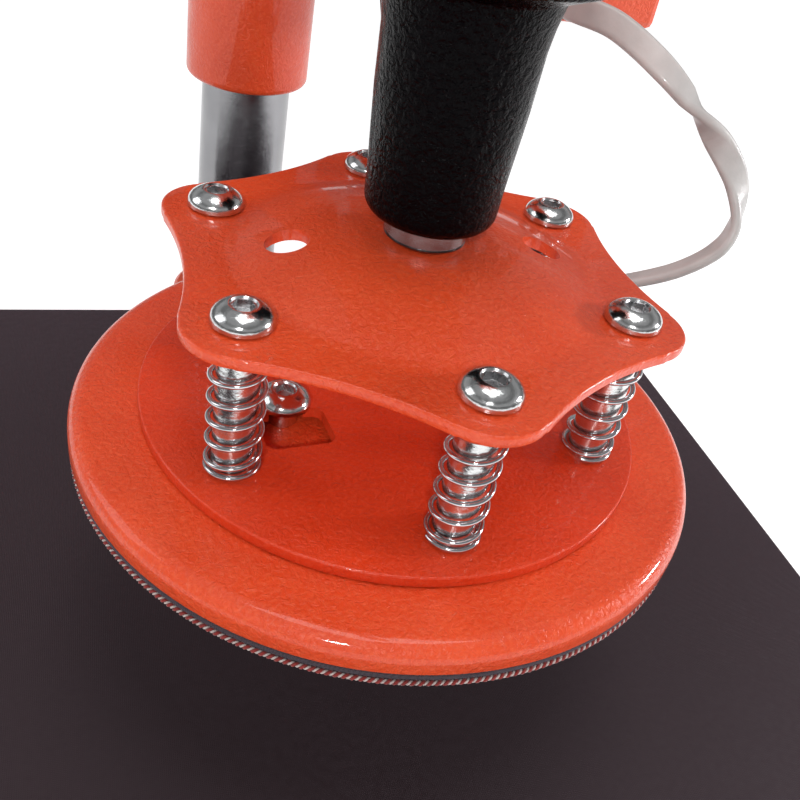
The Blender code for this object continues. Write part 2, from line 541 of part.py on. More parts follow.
def build_head(hub):
    """Star plate, bolts, springs, adapter disc and round platen about hub."""
    hx, hy = hub
    centre = (hx, hy, 0)

    # pressed sheet: revolved dome and rim, trimmed to the star outline
    upper = dome_profile()
    rim = 0.080
    profile = [(0, STAR_TOP + DOME_H)] + [(r, STAR_TOP + h) for r, h in upper[1:]] + [(rim, STAR_TOP)]
    profile += [(rim, STAR_TOP - SHEET_T)] + [(r, STAR_TOP + h - SHEET_T) for r, h in upper[:0:-1]] + [(0, STAR_TOP + DOME_H - SHEET_T)]
    star = turned("star_plate", profile, centre, "orange", steps=44)
    trim = plate("star_trim", star_outline(), 0.060, (hx, hy, STAR_TOP), "steel", cutter=True, turn=math.pi / 2)
    boolean(star, trim, "INTERSECT")
    cut = rod("star_bore", 0.0061, 0.060, (hx, hy, STAR_TOP), sides=24, cutter=True)
    boolean(star, cut)
    for k, side in enumerate((-1, 1)):
        cut = rod(f"dome_hole_{k}", 0.0055, 0.060, (hx + side * 0.0340, hy + 0.0015, STAR_TOP), sides=24, cutter=True)
        boolean(star, cut)
    spots = [(hx + BOLT_CIRCLE_R * math.cos(math.radians(90 + 60 * k)), hy + BOLT_CIRCLE_R * math.sin(math.radians(90 + 60 * k)))
             for k in range(BOLT_COUNT)]
    for k, (x, y) in enumerate(spots, 1):
        boolean(star, rod(f"star_bolt_hole_{k}", BOLT_R + 0.0005, 0.020, (x, y, STAR_TOP), sides=16, cutter=True))

    low, high = ADAPTER_TOP + GAP + SPRING_WIRE, STAR_TOP - SHEET_T - GAP - SPRING_WIRE
    for k, (x, y) in enumerate(spots, 1):
        wire(f"spring_{k}", spring_points(low, high), SPRING_WIRE, (x, y, 0), "chrome")
        button_bolt(f"bolt_{k}", (x, y, STAR_TOP + GAP), STAR_TOP + GAP - ADAPTER_TOP + ADAPTER_T - 0.0006)

    # adapter disc with its bayonet keyholes
    def keyhole(angle):
        c, s = math.cos(angle), math.sin(angle)
        narrow, wide, reach = 0.0047, 0.0078, STUD_R_POS * math.sin(BAYONET_TURN)
        shape = arc(0, 0, narrow, 90, 270, 8) + [(reach - 0.0072, -narrow)]
        shape += arc(reach - 0.0042, -0.0017 - wide + 0.003, 0.003, 180, 270, 3)
        shape += arc(reach + 0.0047, -0.0017 - wide + 0.003, 0.003, 270, 360, 3)
        shape += arc(reach + 0.0047, -0.0017 + wide - 0.003, 0.003, 0, 90, 3)
        shape += arc(reach - 0.0042, -0.0017 + wide - 0.003, 0.003, 90, 148, 2)
        # local u runs round the disc, v points outwards
        return [(STUD_R_POS * c - u * s + v * c, STUD_R_POS * s + u * c + v * s) for u, v in shape]

    holes = [keyhole(STUD_ANGLE), keyhole(STUD_ANGLE + math.pi)]
    holes += [circle(x - hx, y - hy, BOLT_R + GAP, 12) for x, y in spots]
    plate("adapter_disc", circle(0, 0, ADAPTER_R, 64), ADAPTER_T, (hx, hy, ADAPTER_TOP - ADAPTER_T / 2), "orange",
          holes=holes, edge=0.0005)

    # platen cover: shallow spun pan, open below
    top = ADAPTER_TOP - ADAPTER_T - GAP
    bottom = top - COVER_T
    pan = [(0, top)] + arc(COVER_R - COVER_ROUND, top - COVER_ROUND, COVER_ROUND, 90, 0, 4) + [(COVER_R, bottom)]
    inner = COVER_R - COVER_WALL
    pan += [(inner, bottom)] + arc(COVER_R - COVER_ROUND, top - COVER_ROUND, COVER_ROUND - COVER_WALL, 0, 90, 2) + [(0, top - COVER_WALL)]
    cover = turned("platen_cover", pan, centre, "orange", steps=64)
    plate_top = top - COVER_WALL - 0.0024
    turned("heater_plate", [(0, plate_top), (inner - 0.0034, plate_top), (inner - 0.0004, plate_top - 0.0020),
                            (inner - 0.0004, bottom + 0.0002), (0, bottom + 0.0002)], centre, "aluminium", steps=48)
    turned("platen_pad", [(0, bottom - GAP), (COVER_R - 0.0003, bottom - GAP), (COVER_R - 0.0003, bottom - 0.0019),
                          (COVER_R - 0.0023, bottom - 0.0026), (0, bottom - 0.0026)], centre, "silicone", steps=64)
    ring = arc(COVER_R - 0.0009, bottom - 0.0026 - 0.0010, 0.0007, 180, -108, 4)
    turned("edge_welt", ring, centre, "welt", steps=64, ring=True)
    for k in range(2):
        a = STUD_ANGLE + k * math.pi
        x, y = hx + STUD_R_POS * math.cos(a), hy + STUD_R_POS * math.sin(a)
        boolean(cover, rod(f"cover_bore_{k}", STUD_R + GAP, 0.010, (x, y, top), sides=16, cutter=True))
        button_bolt(f"stud_{k + 1}", (x, y, ADAPTER_TOP + GAP), GAP + ADAPTER_T + GAP + COVER_WALL + 0.0016, STUD_R)

    # cable entry at the back right of the pan
    a = GLAND_ANGLE
    r = COVER_R + 0.0058
    gland = box("cable_gland", (0.0110, 0.0140, 0.0072), (hx + r * math.cos(a), hy + r * math.sin(a), bottom + 0.0040), "plastic", round_by=0.001)
    gland.rotation_euler.z = a


def smooth(points, per_span=3):
    """Rounded run through control points (Catmull-Rom)."""
    padded = [points[0], *points, points[-1]]
    out = []
    for p0, p1, p2, p3 in zip(padded, padded[1:], padded[2:], padded[3:]):
        for k in range(per_span):
            t = k / per_span
            out.append(tuple(0.5 * (2 * b + (c - a) * t + (2 * a - 5 * b + 4 * c - d) * t * t + (3 * b - a - 3 * c + d) * t ** 3)
                             for a, b, c, d in zip(p0, p1, p2, p3)))
    return out + [points[-1]]


def build_cable(hub):
    pts = [(hub[0] + x / 1000, hub[1] + y / 1000, ADAPTER_TOP + z / 1000) for x, y, z in smooth(CABLE)]
    wire("heater_cable", pts, CABLE_RADIUS, (0, 0, 0), "white", 2)


# -------------------------------------------------------------------- build
build_base()
swing(build_arm() + build_lever() + build_spindle())
HUB = (ARM_REACH * math.sin(SWING_REST), COLUMN_Y - ARM_REACH * math.cos(SWING_REST))
build_head(HUB)
build_cable(HUB)
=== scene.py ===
"""Swing-away heat press with a round plate head, dressed round its CAD frame."""
import json
import math

import bmesh
import bpy
import numpy as np
from mathutils import Matrix, Vector

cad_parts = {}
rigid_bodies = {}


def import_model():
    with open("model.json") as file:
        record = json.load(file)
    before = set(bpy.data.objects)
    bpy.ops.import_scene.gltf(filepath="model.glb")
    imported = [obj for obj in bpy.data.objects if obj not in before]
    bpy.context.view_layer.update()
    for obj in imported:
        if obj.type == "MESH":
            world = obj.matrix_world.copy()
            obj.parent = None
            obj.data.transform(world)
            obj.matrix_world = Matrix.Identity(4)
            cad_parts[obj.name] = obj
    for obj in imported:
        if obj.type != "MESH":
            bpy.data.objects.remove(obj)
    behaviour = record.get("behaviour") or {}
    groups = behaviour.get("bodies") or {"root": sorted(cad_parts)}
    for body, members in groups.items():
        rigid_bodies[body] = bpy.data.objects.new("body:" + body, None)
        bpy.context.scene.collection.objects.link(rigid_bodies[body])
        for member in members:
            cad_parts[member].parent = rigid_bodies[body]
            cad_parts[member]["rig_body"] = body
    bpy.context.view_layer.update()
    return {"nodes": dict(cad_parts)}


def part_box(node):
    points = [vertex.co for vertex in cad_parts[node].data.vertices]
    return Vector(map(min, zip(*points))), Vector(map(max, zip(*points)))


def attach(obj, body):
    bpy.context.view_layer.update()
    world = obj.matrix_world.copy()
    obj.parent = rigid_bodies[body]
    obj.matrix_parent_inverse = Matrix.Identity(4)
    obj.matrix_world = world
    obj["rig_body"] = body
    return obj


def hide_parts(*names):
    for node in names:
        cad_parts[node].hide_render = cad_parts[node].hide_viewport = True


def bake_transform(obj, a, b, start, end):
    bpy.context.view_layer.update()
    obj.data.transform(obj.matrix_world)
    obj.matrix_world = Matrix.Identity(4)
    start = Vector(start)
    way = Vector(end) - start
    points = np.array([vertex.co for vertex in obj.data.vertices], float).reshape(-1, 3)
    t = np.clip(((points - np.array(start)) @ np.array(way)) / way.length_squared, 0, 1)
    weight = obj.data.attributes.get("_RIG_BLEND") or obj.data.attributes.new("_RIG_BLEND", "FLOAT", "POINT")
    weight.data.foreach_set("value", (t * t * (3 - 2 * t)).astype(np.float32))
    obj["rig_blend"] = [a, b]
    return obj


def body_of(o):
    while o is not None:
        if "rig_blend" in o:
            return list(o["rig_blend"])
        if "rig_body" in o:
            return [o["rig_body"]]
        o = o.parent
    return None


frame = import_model()
NODES = frame["nodes"]


def middle(node):
    low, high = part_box(node)
    return (Vector(low) + Vector(high)) / 2


HUB = middle("adapter_disc")
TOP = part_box("adapter_disc")[1][2]          # top face of the adapter disc
STAR = TOP + 0.0414                         # top face of the star plate's rim
COLUMN = middle("column_post")
SWING = math.radians(4.06)                  # where the arm stands at rest
REACH = 0.2085                              # from the column's axis to the spindle's
GAP = 0.0003                                # air left between neighbouring parts
ARM = Matrix.Translation((0, COLUMN.y, 0)) @ Matrix.Rotation(SWING, 4, "Z")
SPINDLE = ARM @ Vector((0, -REACH, 0))
TAU = 2 * math.pi

# ------------------------------------------------------------------ camera
# the eye's place from the disc's top at the spindle, and the view's own axes
EYE = Vector((-0.07626, -0.19414, 0.15082))
RIGHT = Vector((0.952176, -0.255843, 0.167048))
UP = Vector((0.026784, 0.614497, 0.788464))
AHEAD = Vector((0.304373, 0.746283, -0.591962))
cam_data = bpy.data.cameras.new("camera")
cam_data.sensor_width, cam_data.lens = 36.0, 41.06
cam_data.clip_start, cam_data.clip_end = 0.01, 50.0
camera = bpy.data.objects.new("camera", cam_data)
bpy.context.scene.collection.objects.link(camera)
camera.matrix_world = Matrix((
    (RIGHT.x, UP.x, -AHEAD.x, SPINDLE.x + EYE.x),
    (RIGHT.y, UP.y, -AHEAD.y, SPINDLE.y + EYE.y),
    (RIGHT.z, UP.z, -AHEAD.z, TOP + EYE.z),
    (0, 0, 0, 1)))
bpy.context.scene.camera = camera


# --------------------------------------------------------------- materials
class Look:
    """A Principled material and short calls for the nodes that feed it."""

    def __init__(self, name, colour, metallic=0.0, rough=0.5, **sockets):
        self.mat = bpy.data.materials.new(name)
        self.mat.use_nodes = True
        self.tree = self.mat.node_tree
        self.shader = self.tree.nodes["Principled BSDF"]
        self.set("Base Color", (*colour, 1))
        self.set("Metallic", metallic)
        self.set("Roughness", rough)
        for key, value in sockets.items():
            self.set(key.replace("_", " "), value)
        self.coords = self.node("ShaderNodeTexCoord").outputs["Object"]
        self.height = None

    def set(self, socket, value):
        self.shader.inputs[socket].default_value = value

    def node(self, kind, **settings):
        made = self.tree.nodes.new(kind)
        for key, value in settings.items():
            if key in made.inputs:
                made.inputs[key].default_value = value
            else:
                setattr(made, key, value)
        return made

    def join(self, a, b):
        self.tree.links.new(a, b)

    def noise(self, scale, detail=3.0, rough=0.5, stretch=None, distort=0.0):
        made = self.node("ShaderNodeTexNoise", Scale=scale, Detail=detail, Roughness=rough,
                         Distortion=distort)
        self.join(self.stretched(stretch), made.inputs["Vector"])
        return made.outputs["Fac"]

    def stretched(self, stretch):
        if not stretch:
            return self.coords
        mapping = self.node("ShaderNodeMapping", Scale=stretch)
        self.join(self.coords, mapping.inputs["Vector"])
        return mapping.outputs["Vector"]

    def waves(self, scale, direction, distort):
        made = self.node("ShaderNodeTexWave", bands_direction=direction, Scale=scale,
                         Distortion=distort)
        self.join(self.coords, made.inputs["Vector"])
        return made.outputs["Fac"]

    def ramp(self, value, low, high, start=0.0, end=1.0):
        """Maps start..end to low..high, clamped."""
        made = self.node("ShaderNodeMapRange", **{"From Min": start, "From Max": end,
                                                  "To Min": low, "To Max": high})
        self.join(value, made.inputs["Value"])
        return made.outputs["Result"]

    def maths(self, operation, a, b):
        made = self.node("ShaderNodeMath", operation=operation)
        for value, socket in ((a, made.inputs[0]), (b, made.inputs[1])):
            if isinstance(value, (int, float)):
                socket.default_value = value
            else:
                self.join(value, socket)
        return made.outputs[0]

    def blend(self, share, first, second):
        made = self.node("ShaderNodeMix", data_type="RGBA")
        self.join(share, made.inputs["Factor"])
        for value, socket in ((first, made.inputs[6]), (second, made.inputs[7])):
            if isinstance(value, tuple):
                socket.default_value = (*value, 1)
            else:
                self.join(value, socket)
        return made.outputs[2]

    def colour(self, value):
        self.join(value, self.shader.inputs["Base Color"])

    def rough(self, value):
        self.join(value, self.shader.inputs["Roughness"])

    def bump(self, height, depth):
        """Adds one layer of relief on top of those already there."""
        made = self.node("ShaderNodeBump", Strength=1.0, Distance=depth)
        self.join(height, made.inputs["Height"])
        if self.height:
            self.join(self.height, made.inputs["Normal"])
        self.height = made.outputs["Normal"]
        self.join(self.height, self.shader.inputs["Normal"])

    def edges(self):
        """Rises from 0 to 1 on convex edges."""
        geometry = self.node("ShaderNodeNewGeometry")
        return self.ramp(geometry.outputs["Pointiness"], 0.0, 1.0, 0.52, 0.60)


def shade(colour, by):
    return tuple(c * by for c in colour)


# In the four finishes below a noise scale is in cycles per metre, and a depth is in metres.
def powder(name, base, dark, light, rough=0.34, grain=640.0, depth=0.00052, coat=0.45,
           specular=0.30):
    """Thick powder coat: orange peel, fine wrinkles, worn lighter on edges."""
    cloud, speckle, gloss_patch, wear = 38.0, 900.0, 120.0, 0.20
    look = Look(name, base, rough=rough, Coat_Weight=coat, Coat_Roughness=0.06,
                Specular_IOR_Level=specular)
    tone = look.blend(look.ramp(look.noise(cloud, 4), 0, 1, 0.3, 0.7), base, dark)
    tone = look.blend(look.ramp(look.noise(speckle, 2), 0, 0.30, 0.45, 0.75), tone, light)
    look.colour(look.blend(look.maths("MULTIPLY", look.edges(), wear), tone, light))
    look.rough(look.ramp(look.noise(gloss_patch, 3), rough - 0.06, rough + 0.10, 0.3, 0.7))
    look.bump(look.noise(grain, 3, 0.55, distort=0.6), depth)
    look.bump(look.noise(grain * 2.3, 2, 0.5), depth * 0.22)
    return look.mat


def metal(name, colour, rough, brushed=None, depth=0.00002):
    """Polished or turned metal: faint clouds and a fine uneven surface."""
    cloud, fine_grain, ripple = 55.0, 700.0, 160.0
    look = Look(name, colour, metallic=1.0, rough=rough)
    patch = look.ramp(look.noise(cloud, 4), 0, 1, 0.35, 0.7)
    look.colour(look.blend(patch, colour, shade(colour, 0.86)))
    fine = look.noise(fine_grain, 4, 0.6, stretch=brushed)
    look.rough(look.ramp(fine, rough * 0.7, rough * 1.6, 0.3, 0.7))
    look.bump(fine, depth)
    look.bump(look.noise(ripple, 2), depth * 2)
    return look.mat


def moulded(name, colour, rough=0.45, grain=1400.0, depth=0.00006, **sockets):
    """Moulded plastic or rubber: uneven tone and gloss, fine grain."""
    cloud, gloss_patch = 70.0, 250.0
    look = Look(name, colour, rough=rough, **sockets)
    patch = look.ramp(look.noise(cloud, 4), 0, 1, 0.3, 0.7)
    look.colour(look.blend(patch, colour, shade(colour, 0.78)))
    look.rough(look.ramp(look.noise(gloss_patch, 3), rough * 0.85, min(1.0, rough * 1.2), 0.3, 0.7))
    look.bump(look.noise(grain, 2), depth)
    return look.mat


def woven(name, base, thread, pitch, depth, rough=0.75):
    """Plain weave in the XY plane, one warp and one weft thread to each pitch."""
    cloud, gloss_patch, fibre = 9.0, 400.0, 1800.0
    look = Look(name, base, rough=rough, Sheen_Weight=0.12, Sheen_Roughness=0.45,
                Sheen_Tint=(1.0, 0.72, 0.95, 1), Specular_IOR_Level=0.38,
                Specular_Tint=(1.0, 0.86, 0.98, 1))
    bands = 0.5 / pitch
    warp, weft = (look.waves(bands, direction, 0.4) for direction in ("X", "Y"))
    weave = look.maths("MULTIPLY", warp, weft)
    patch = look.ramp(look.noise(cloud, 3), 0, 1, 0.3, 0.7)
    tone = look.blend(weave, base, thread)
    look.colour(look.blend(look.maths("MULTIPLY", patch, 0.35), tone, shade(base, 1.3)))
    look.rough(look.ramp(look.noise(gloss_patch, 3), rough - 0.1, rough + 0.1, 0.3, 0.7))
    look.bump(weave, depth)
    look.bump(look.noise(fibre, 3), depth * 0.5)
    return look.mat


ORANGE = powder("orange_coat", (0.82, 0.082, 0.020), (0.72, 0.062, 0.015), (0.94, 0.18, 0.07))
# the same orange paint, made darker and redder to paint the shade that falls on the disc under the star
# plate
DISC_ORANGE_PAINTED_SHADE = powder("disc_coat_painted_shade", (0.77, 0.055, 0.011), (0.67, 0.042, 0.008),
                     (0.88, 0.12, 0.05), coat=0.30)
BLACK = powder("black_coat", (0.0011, 0.0006, 0.0011), (0.0007, 0.0004, 0.0008),
               (0.004, 0.003, 0.004), 0.14, 620.0, 0.00070, coat=0.0, specular=0.045)
CHROME = metal("chrome", (0.86, 0.86, 0.88), 0.07)
BOLT = metal("bolt_zinc", (0.72, 0.73, 0.73), 0.13, depth=0.00007)
SOCKET = metal("socket_steel", (0.62, 0.62, 0.63), 0.24, depth=0.00006)
WIRE = metal("spring_wire", (0.66, 0.66, 0.68), 0.10)
STEEL = metal("turned_steel", (0.34, 0.34, 0.35), 0.18, brushed=(1, 1, 30), depth=0.00004)
COLUMN_CHROME = metal("column_chrome", (0.30, 0.30, 0.31), 0.14, brushed=(1, 1, 14),
                      depth=0.00003)
ALUMINIUM = metal("aluminium", (0.72, 0.72, 0.74), 0.34, depth=0.00005)
PAD = woven("pad_cloth", (0.024, 0.014, 0.0155), (0.016, 0.0095, 0.0105), 0.00085, 0.00007,
            0.52)
BAND = woven("band_cloth", (0.060, 0.048, 0.056), (0.030, 0.024, 0.028), 0.0006, 0.00010)
RUBBER = moulded("rubber", (0.018, 0.018, 0.019), 0.70, 900.0, 0.00015)
PLASTIC = moulded("black_plastic", (0.026, 0.025, 0.026), 0.42)
BROWN = moulded("plug_plastic", (0.050, 0.026, 0.020), 0.40)
CABLE_WHITE = moulded("white_cable", (0.60, 0.585, 0.57), 0.38, 500.0, 0.00012,
                      Coat_Weight=0.12)
THREAD_RED = moulded("welt_red", (0.30, 0.022, 0.018), 0.80, 3000.0, 0.00010, Sheen_Weight=0.3)
THREAD_WHITE = moulded("welt_white", (0.66, 0.55, 0.52), 0.80, 3000.0, 0.00010,
                       Sheen_Weight=0.3)
# pale colour for the bead on the pad's upper edge: a painted highlight along that edge
PAD_EDGE_PAINTED_HIGHLIGHT = moulded("pad_edge_painted_highlight", (0.33, 0.29, 0.30), 0.70, 2000.0, 0.00010)
GLASS = moulded("display_glass", (0.010, 0.014, 0.014), 0.07, 300.0, 0.00001, Coat_Weight=0.6)
DIGIT = moulded("display_digit", (0.75, 0.05, 0.03), 0.4, Emission_Color=(1.0, 0.08, 0.04, 1),
                Emission_Strength=0.6)
KEY = moulded("key_grey", (0.50, 0.51, 0.53), 0.50)
RED = moulded("rocker_red", (0.50, 0.020, 0.014), 0.32, Coat_Weight=0.3)


# ------------------------------------------------------------- mesh helpers
SHARP = 38.0                                # degrees between faces that leave a hard edge


def finish_mesh(name, bm, mat, angle=SHARP, place=None):
    """Object from a bmesh, smooth but for its sharp edges."""
    bmesh.ops.remove_doubles(bm, verts=bm.verts, dist=1e-7)
    bmesh.ops.recalc_face_normals(bm, faces=bm.faces)
    mesh = bpy.data.meshes.new(name)
    bm.to_mesh(mesh)
    bm.free()
    if place is not None:
        mesh.transform(place)
    mesh.materials.append(mat)
    mesh.shade_smooth()
    mesh.set_sharp_from_angle(angle=math.radians(angle))
    obj = bpy.data.objects.new(name, mesh)
    bpy.context.scene.collection.objects.link(obj)
    return obj


def add_rings(bm, rings, caps=True, loop=False):
    """Skin of quads over closed rings of equal length; loop joins the last to the first."""
    made = [[bm.verts.new(p) for p in ring] for ring in rings]
    count = len(made[0])
    pairs = list(zip(made, made[1:])) + ([(made[-1], made[0])] if loop else [])
    for a, b in pairs:
        for k in range(count):
            j = (k + 1) % count
            if len({tuple(v.co) for v in (a[k], a[j], b[j], b[k])}) > 2:
                bm.faces.new((a[k], a[j], b[j], b[k]))
    if caps and not loop:
        bm.faces.new(made[0][::-1])
        bm.faces.new(made[-1])


def arc(cx, cy, radius, start, end, count):
    """Points on an arc between two angles in degrees, both ends included."""
    turns = [math.radians(start + (end - start) * k / count) for k in range(count + 1)]
    return [(cx + radius * math.cos(a), cy + radius * math.sin(a)) for a in turns]


def soften(points, radius, count=4, closed=True):
    """The same outline with its corners rounded."""
    straight, spike = math.radians(172), 0.02        # corners that are left alone
    out, n = [], len(points)
    for k in range(n):
        here = Vector(points[k])
        if not closed and k in (0, n - 1):
            out.append(tuple(here))
            continue
        before, after = Vector(points[k - 1]), Vector(points[(k + 1) % n])
        a, b = before - here, after - here
        turn = a.angle(b, math.pi)
        if turn > straight or turn < spike:
            out.append(tuple(here))
            continue
        cut = min(radius / math.tan(turn / 2), a.length * 0.49, b.length * 0.49)
        p, q = here + a.normalized() * cut, here + b.normalized() * cut
        for j in range(count + 1):
            t = j / count
            out.append(tuple(p * (1 - t) ** 2 + here * 2 * t * (1 - t) + q * t * t))
    return out


def turned(name, profile, mat, at=(0, 0, 0), steps=128, loop=False, place=None, rounding=0.0,
           angle=SHARP):
    """Revolved (r, z) profile; loop closes it on itself."""
    if rounding:
        profile = soften(profile, rounding, closed=loop)
    turns = [TAU * k / steps for k in range(steps)]
    bm = bmesh.new()
    add_rings(bm, [[(at[0] + r * math.cos(a), at[1] + r * math.sin(a), at[2] + z) for a in turns]
                   for r, z in profile], caps=False, loop=loop)
    return finish_mesh(name, bm, mat, angle, place)


def inset(outline, by):
    """Outline moved inwards along its corner normals (counter-clockwise)."""
    out, n = [], len(outline)
    for k in range(n):
        a = Vector(outline[k]) - Vector(outline[k - 1])
        b = Vector(outline[(k + 1) % n]) - Vector(outline[k])
        na, nb = (Vector((-v.y, v.x)).normalized() for v in (a, b))
        mid = (na + nb).normalized()
        out.append(tuple(Vector(outline[k]) + mid * by / max(0.4, mid.dot(na))))
    return out


def slab(name, outline, low, high, mat, edge=0.0008, place=None, steps=4):
    """Extruded outline with rounded upper and lower edges."""
    bm = bmesh.new()
    rings = []
    for centre, start, end in ((low + edge, -90, 0), (high - edge, 0, 90)):
        for c, z in arc(0, centre, edge, start, end, steps):
            rings.append([(x, y, z) for x, y in inset(outline, edge - c)])
    add_rings(bm, rings)
    return finish_mesh(name, bm, mat, place=place)


def circle(cx, cy, radius, count=64):
    turns = [TAU * k / count for k in range(count)]
    return [(cx + radius * math.cos(a), cy + radius * math.sin(a)) for a in turns]


def rounded_rect(cx, cy, width, depth, radius, count=8):
    points = []
    for k, (sx, sy) in enumerate(((1, 1), (-1, 1), (-1, -1), (1, -1))):
        points += arc(cx + sx * (width / 2 - radius), cy + sy * (depth / 2 - radius), radius,
                      90 * k, 90 * k + 90, count)
    return points


def carve(obj, cutters, angle=SHARP):
    """Takes each cutter out of obj; the cutters are removed."""
    for cutter in cutters:
        mod = obj.modifiers.new("cut", "BOOLEAN")
        mod.solver, mod.operation, mod.material_mode = "EXACT", "DIFFERENCE", "TRANSFER"
        mod.object = cutter
    bpy.context.view_layer.update()
    graph = bpy.context.evaluated_depsgraph_get()
    mesh = bpy.data.meshes.new_from_object(obj.evaluated_get(graph))
    obj.modifiers.clear()
    obj.data = mesh
    for cutter in cutters:
        bpy.data.objects.remove(cutter, do_unlink=True)
    mesh.shade_smooth()
    mesh.set_sharp_from_angle(angle=math.radians(angle))
    return obj


def tube(name, points, radius, mat, sides=12, loop=False):
    """Round tube along points, its rings carried along without twist."""
    pts = [Vector(p) for p in points]
    turns = [TAU * k / sides for k in range(sides)]
    rings, normal = [], None
    for k, p in enumerate(pts):
        t = (pts[min(k + 1, len(pts) - 1)] - pts[max(k - 1, 0)]).normalized()
        if normal is None:
            normal = t.orthogonal().normalized()
        normal = (normal - t * normal.dot(t)).normalized()
        side = t.cross(normal)
        rings.append([tuple(p + (normal * math.cos(a) + side * math.sin(a)) * radius)
                      for a in turns])
    bm = bmesh.new()
    add_rings(bm, rings, loop=loop)
    return finish_mesh(name, bm, mat, 60.0)


def stand_for(piece, slot, *nodes):
    """piece replaces those CAD nodes and rides where the first one does."""
    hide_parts(*nodes)
    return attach(piece, body_of(NODES[nodes[0]])[0])


def ride_on(piece, node):
    """piece is an addition that moves with that CAD node."""
    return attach(piece, body_of(NODES[node])[0])


# ------------------------------------------------------------ heater cable
# the CAD route's points in mm, from the spindle's axis and the disc's top
CABLE = [(71.46, 94.9, 85.0), (71.67, 92.0, 85.1), (72.6, 88.6, 85.4), (83.0, 80.0, 83.5),
         (95.0, 65.0, 76.0), (109.0, 57.0, 64.5), (119.8, 51.5, 54.0), (126.0, 48.3, 45.0),
         (127.5, 44.5, 34.5), (124.0, 43.0, 25.0), (116.0, 48.0, 14.0), (106.0, 57.0, 4.0),
         (95.0, 66.0, -3.5), (86.0, 67.2, -6.6), (77.6, 60.6, -7.3)]
CABLE_WIDTH, CABLE_THICK = 0.0090, 0.0037
CABLE_STEPS = 120
SEAMS = (0.0, 0.38, 0.69, 1.0)              # shares of the route where the lengths meet
# the flat side's turn from the picture plane, in degrees, by share of the route
TWIST = [(0.0, 42.0), (0.10, 14.0), (0.22, 0.0), (0.29, -25.0), (0.35, -88.0), (0.40, -140.0),
         (0.46, -178.0), (0.51, -215.0), (0.57, -268.0), (0.62, -292.0), (0.75, -298.0),
         (1.0, -290.0)]


def smooth(points, per_span):
    """Catmull-Rom curve through the points."""
    padded = [points[0], *points, points[-1]]
    out = []
    for p0, p1, p2, p3 in zip(padded, padded[1:], padded[2:], padded[3:]):
        for k in range(per_span):
            t = k / per_span
            out.append(tuple(0.5 * (2 * b + (c - a) * t + (2 * a - 5 * b + 4 * c - d) * t * t
                                    + (3 * b - a - 3 * c + d) * t ** 3)
                             for a, b, c, d in zip(p0, p1, p2, p3)))
    return out + [points[-1]]


def spaced(points, count):
    """The same line as count points an equal way apart."""
    line = np.array(points)
    steps = np.linalg.norm(np.diff(line, axis=0), axis=1)
    along = np.concatenate([[0], np.cumsum(steps)])
    at = np.linspace(0, along[-1], count)
    return [Vector([np.interp(x, along, line[:, k]) for k in range(3)]) for x in at]


def cable_ring(route, k):
    """The flat section at point k, turned as the twist says."""
    groove_depth, groove_width = 0.10, 0.0011        # faint groove between the cores
    ahead = (route[min(k + 1, CABLE_STEPS)] - route[max(k - 1, 0)]).normalized()
    flat = ahead.cross(-AHEAD).normalized()
    edge_on = ahead.cross(flat).normalized()
    a = math.radians(float(np.interp(k / CABLE_STEPS, *zip(*TWIST))))
    width = flat * math.cos(a) + edge_on * math.sin(a)
    thick = ahead.cross(width).normalized()
    return [tuple(route[k] + width * x
                  + thick * y * (1.0 - groove_depth * math.exp(-(x / groove_width) ** 2)))
            for x, y in rounded_rect(0, 0, CABLE_WIDTH, CABLE_THICK, CABLE_THICK * 0.46, 5)]


def build_cable():
    """One cable in three lengths, each blended across one joint."""
    route = spaced([(SPINDLE.x + x / 1000, SPINDLE.y + y / 1000, TOP + z / 1000)
                    for x, y, z in smooth(CABLE, 8)], CABLE_STEPS + 1)
    rings = [cable_ring(route, k) for k in range(CABLE_STEPS + 1)]
    bodies = ("arm", "press_spindle", "float_plate", "platen")
    seams = [round(share * CABLE_STEPS) for share in SEAMS]
    for k, name in enumerate(("cable_upper", "cable_middle", "cable_lower")):
        a, b = seams[k], seams[k + 1]
        bm = bmesh.new()
        add_rings(bm, rings[a:b + 1], caps=False)
        piece = finish_mesh(name, bm, CABLE_WHITE, 60.0)
        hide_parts("heater_cable")
        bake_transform(piece, bodies[k], bodies[k + 1], start=route[a], end=route[b])


build_cable()


# -------------------------------------------------------------- plate head
BOLT_CIRCLE, LOBE_R, WAIST_R, ARC_R = 0.0556, 0.0138, 0.0588, 0.0980
DOME_R, DOME_H, DOME_FLAT, SHEET = 0.0471, 0.0076, 0.0125, 0.0030
FOOT_IN, FOOT_OUT = DOME_R - 0.0015, DOME_R + 0.0020        # the crease at the dome's foot
DISC_R, DISC_THICK = 0.0690, 0.0032
STUD_CIRCLE = 0.0318
STUD_ANGLES = [math.radians(187.0) + k * math.pi for k in range(2)]
BAYONET_TURN = math.radians(19.0)


def round_hub(radius, angle, z=0.0):
    return Vector((HUB.x + radius * math.cos(angle), HUB.y + radius * math.sin(angle), z))


SPOTS = [round_hub(BOLT_CIRCLE, math.radians(90 + 60 * k)) for k in range(6)]


def star_radius(angle):
    """Distance from the centre to the star's outline at that angle."""
    step = TAU / 6
    a = (angle - math.pi / 2 + step / 2) % step - step / 2       # from the nearest lobe
    far = WAIST_R + ARC_R
    tangent = math.atan2(far * math.sin(step / 2), far * math.cos(step / 2) - BOLT_CIRCLE)
    c, s = math.cos(a), math.sin(abs(a))
    lobe = BOLT_CIRCLE * c + math.sqrt(max(0.0, LOBE_R ** 2 - (BOLT_CIRCLE * s) ** 2))
    touch = math.atan2(LOBE_R * math.sin(tangent), BOLT_CIRCLE + LOBE_R * math.cos(tangent))
    if abs(a) <= touch:
        return lobe
    b = step / 2 - abs(a)
    gap = (far * math.sin(b)) ** 2
    return far * math.cos(b) - math.sqrt(max(0.0, ARC_R ** 2 - gap))


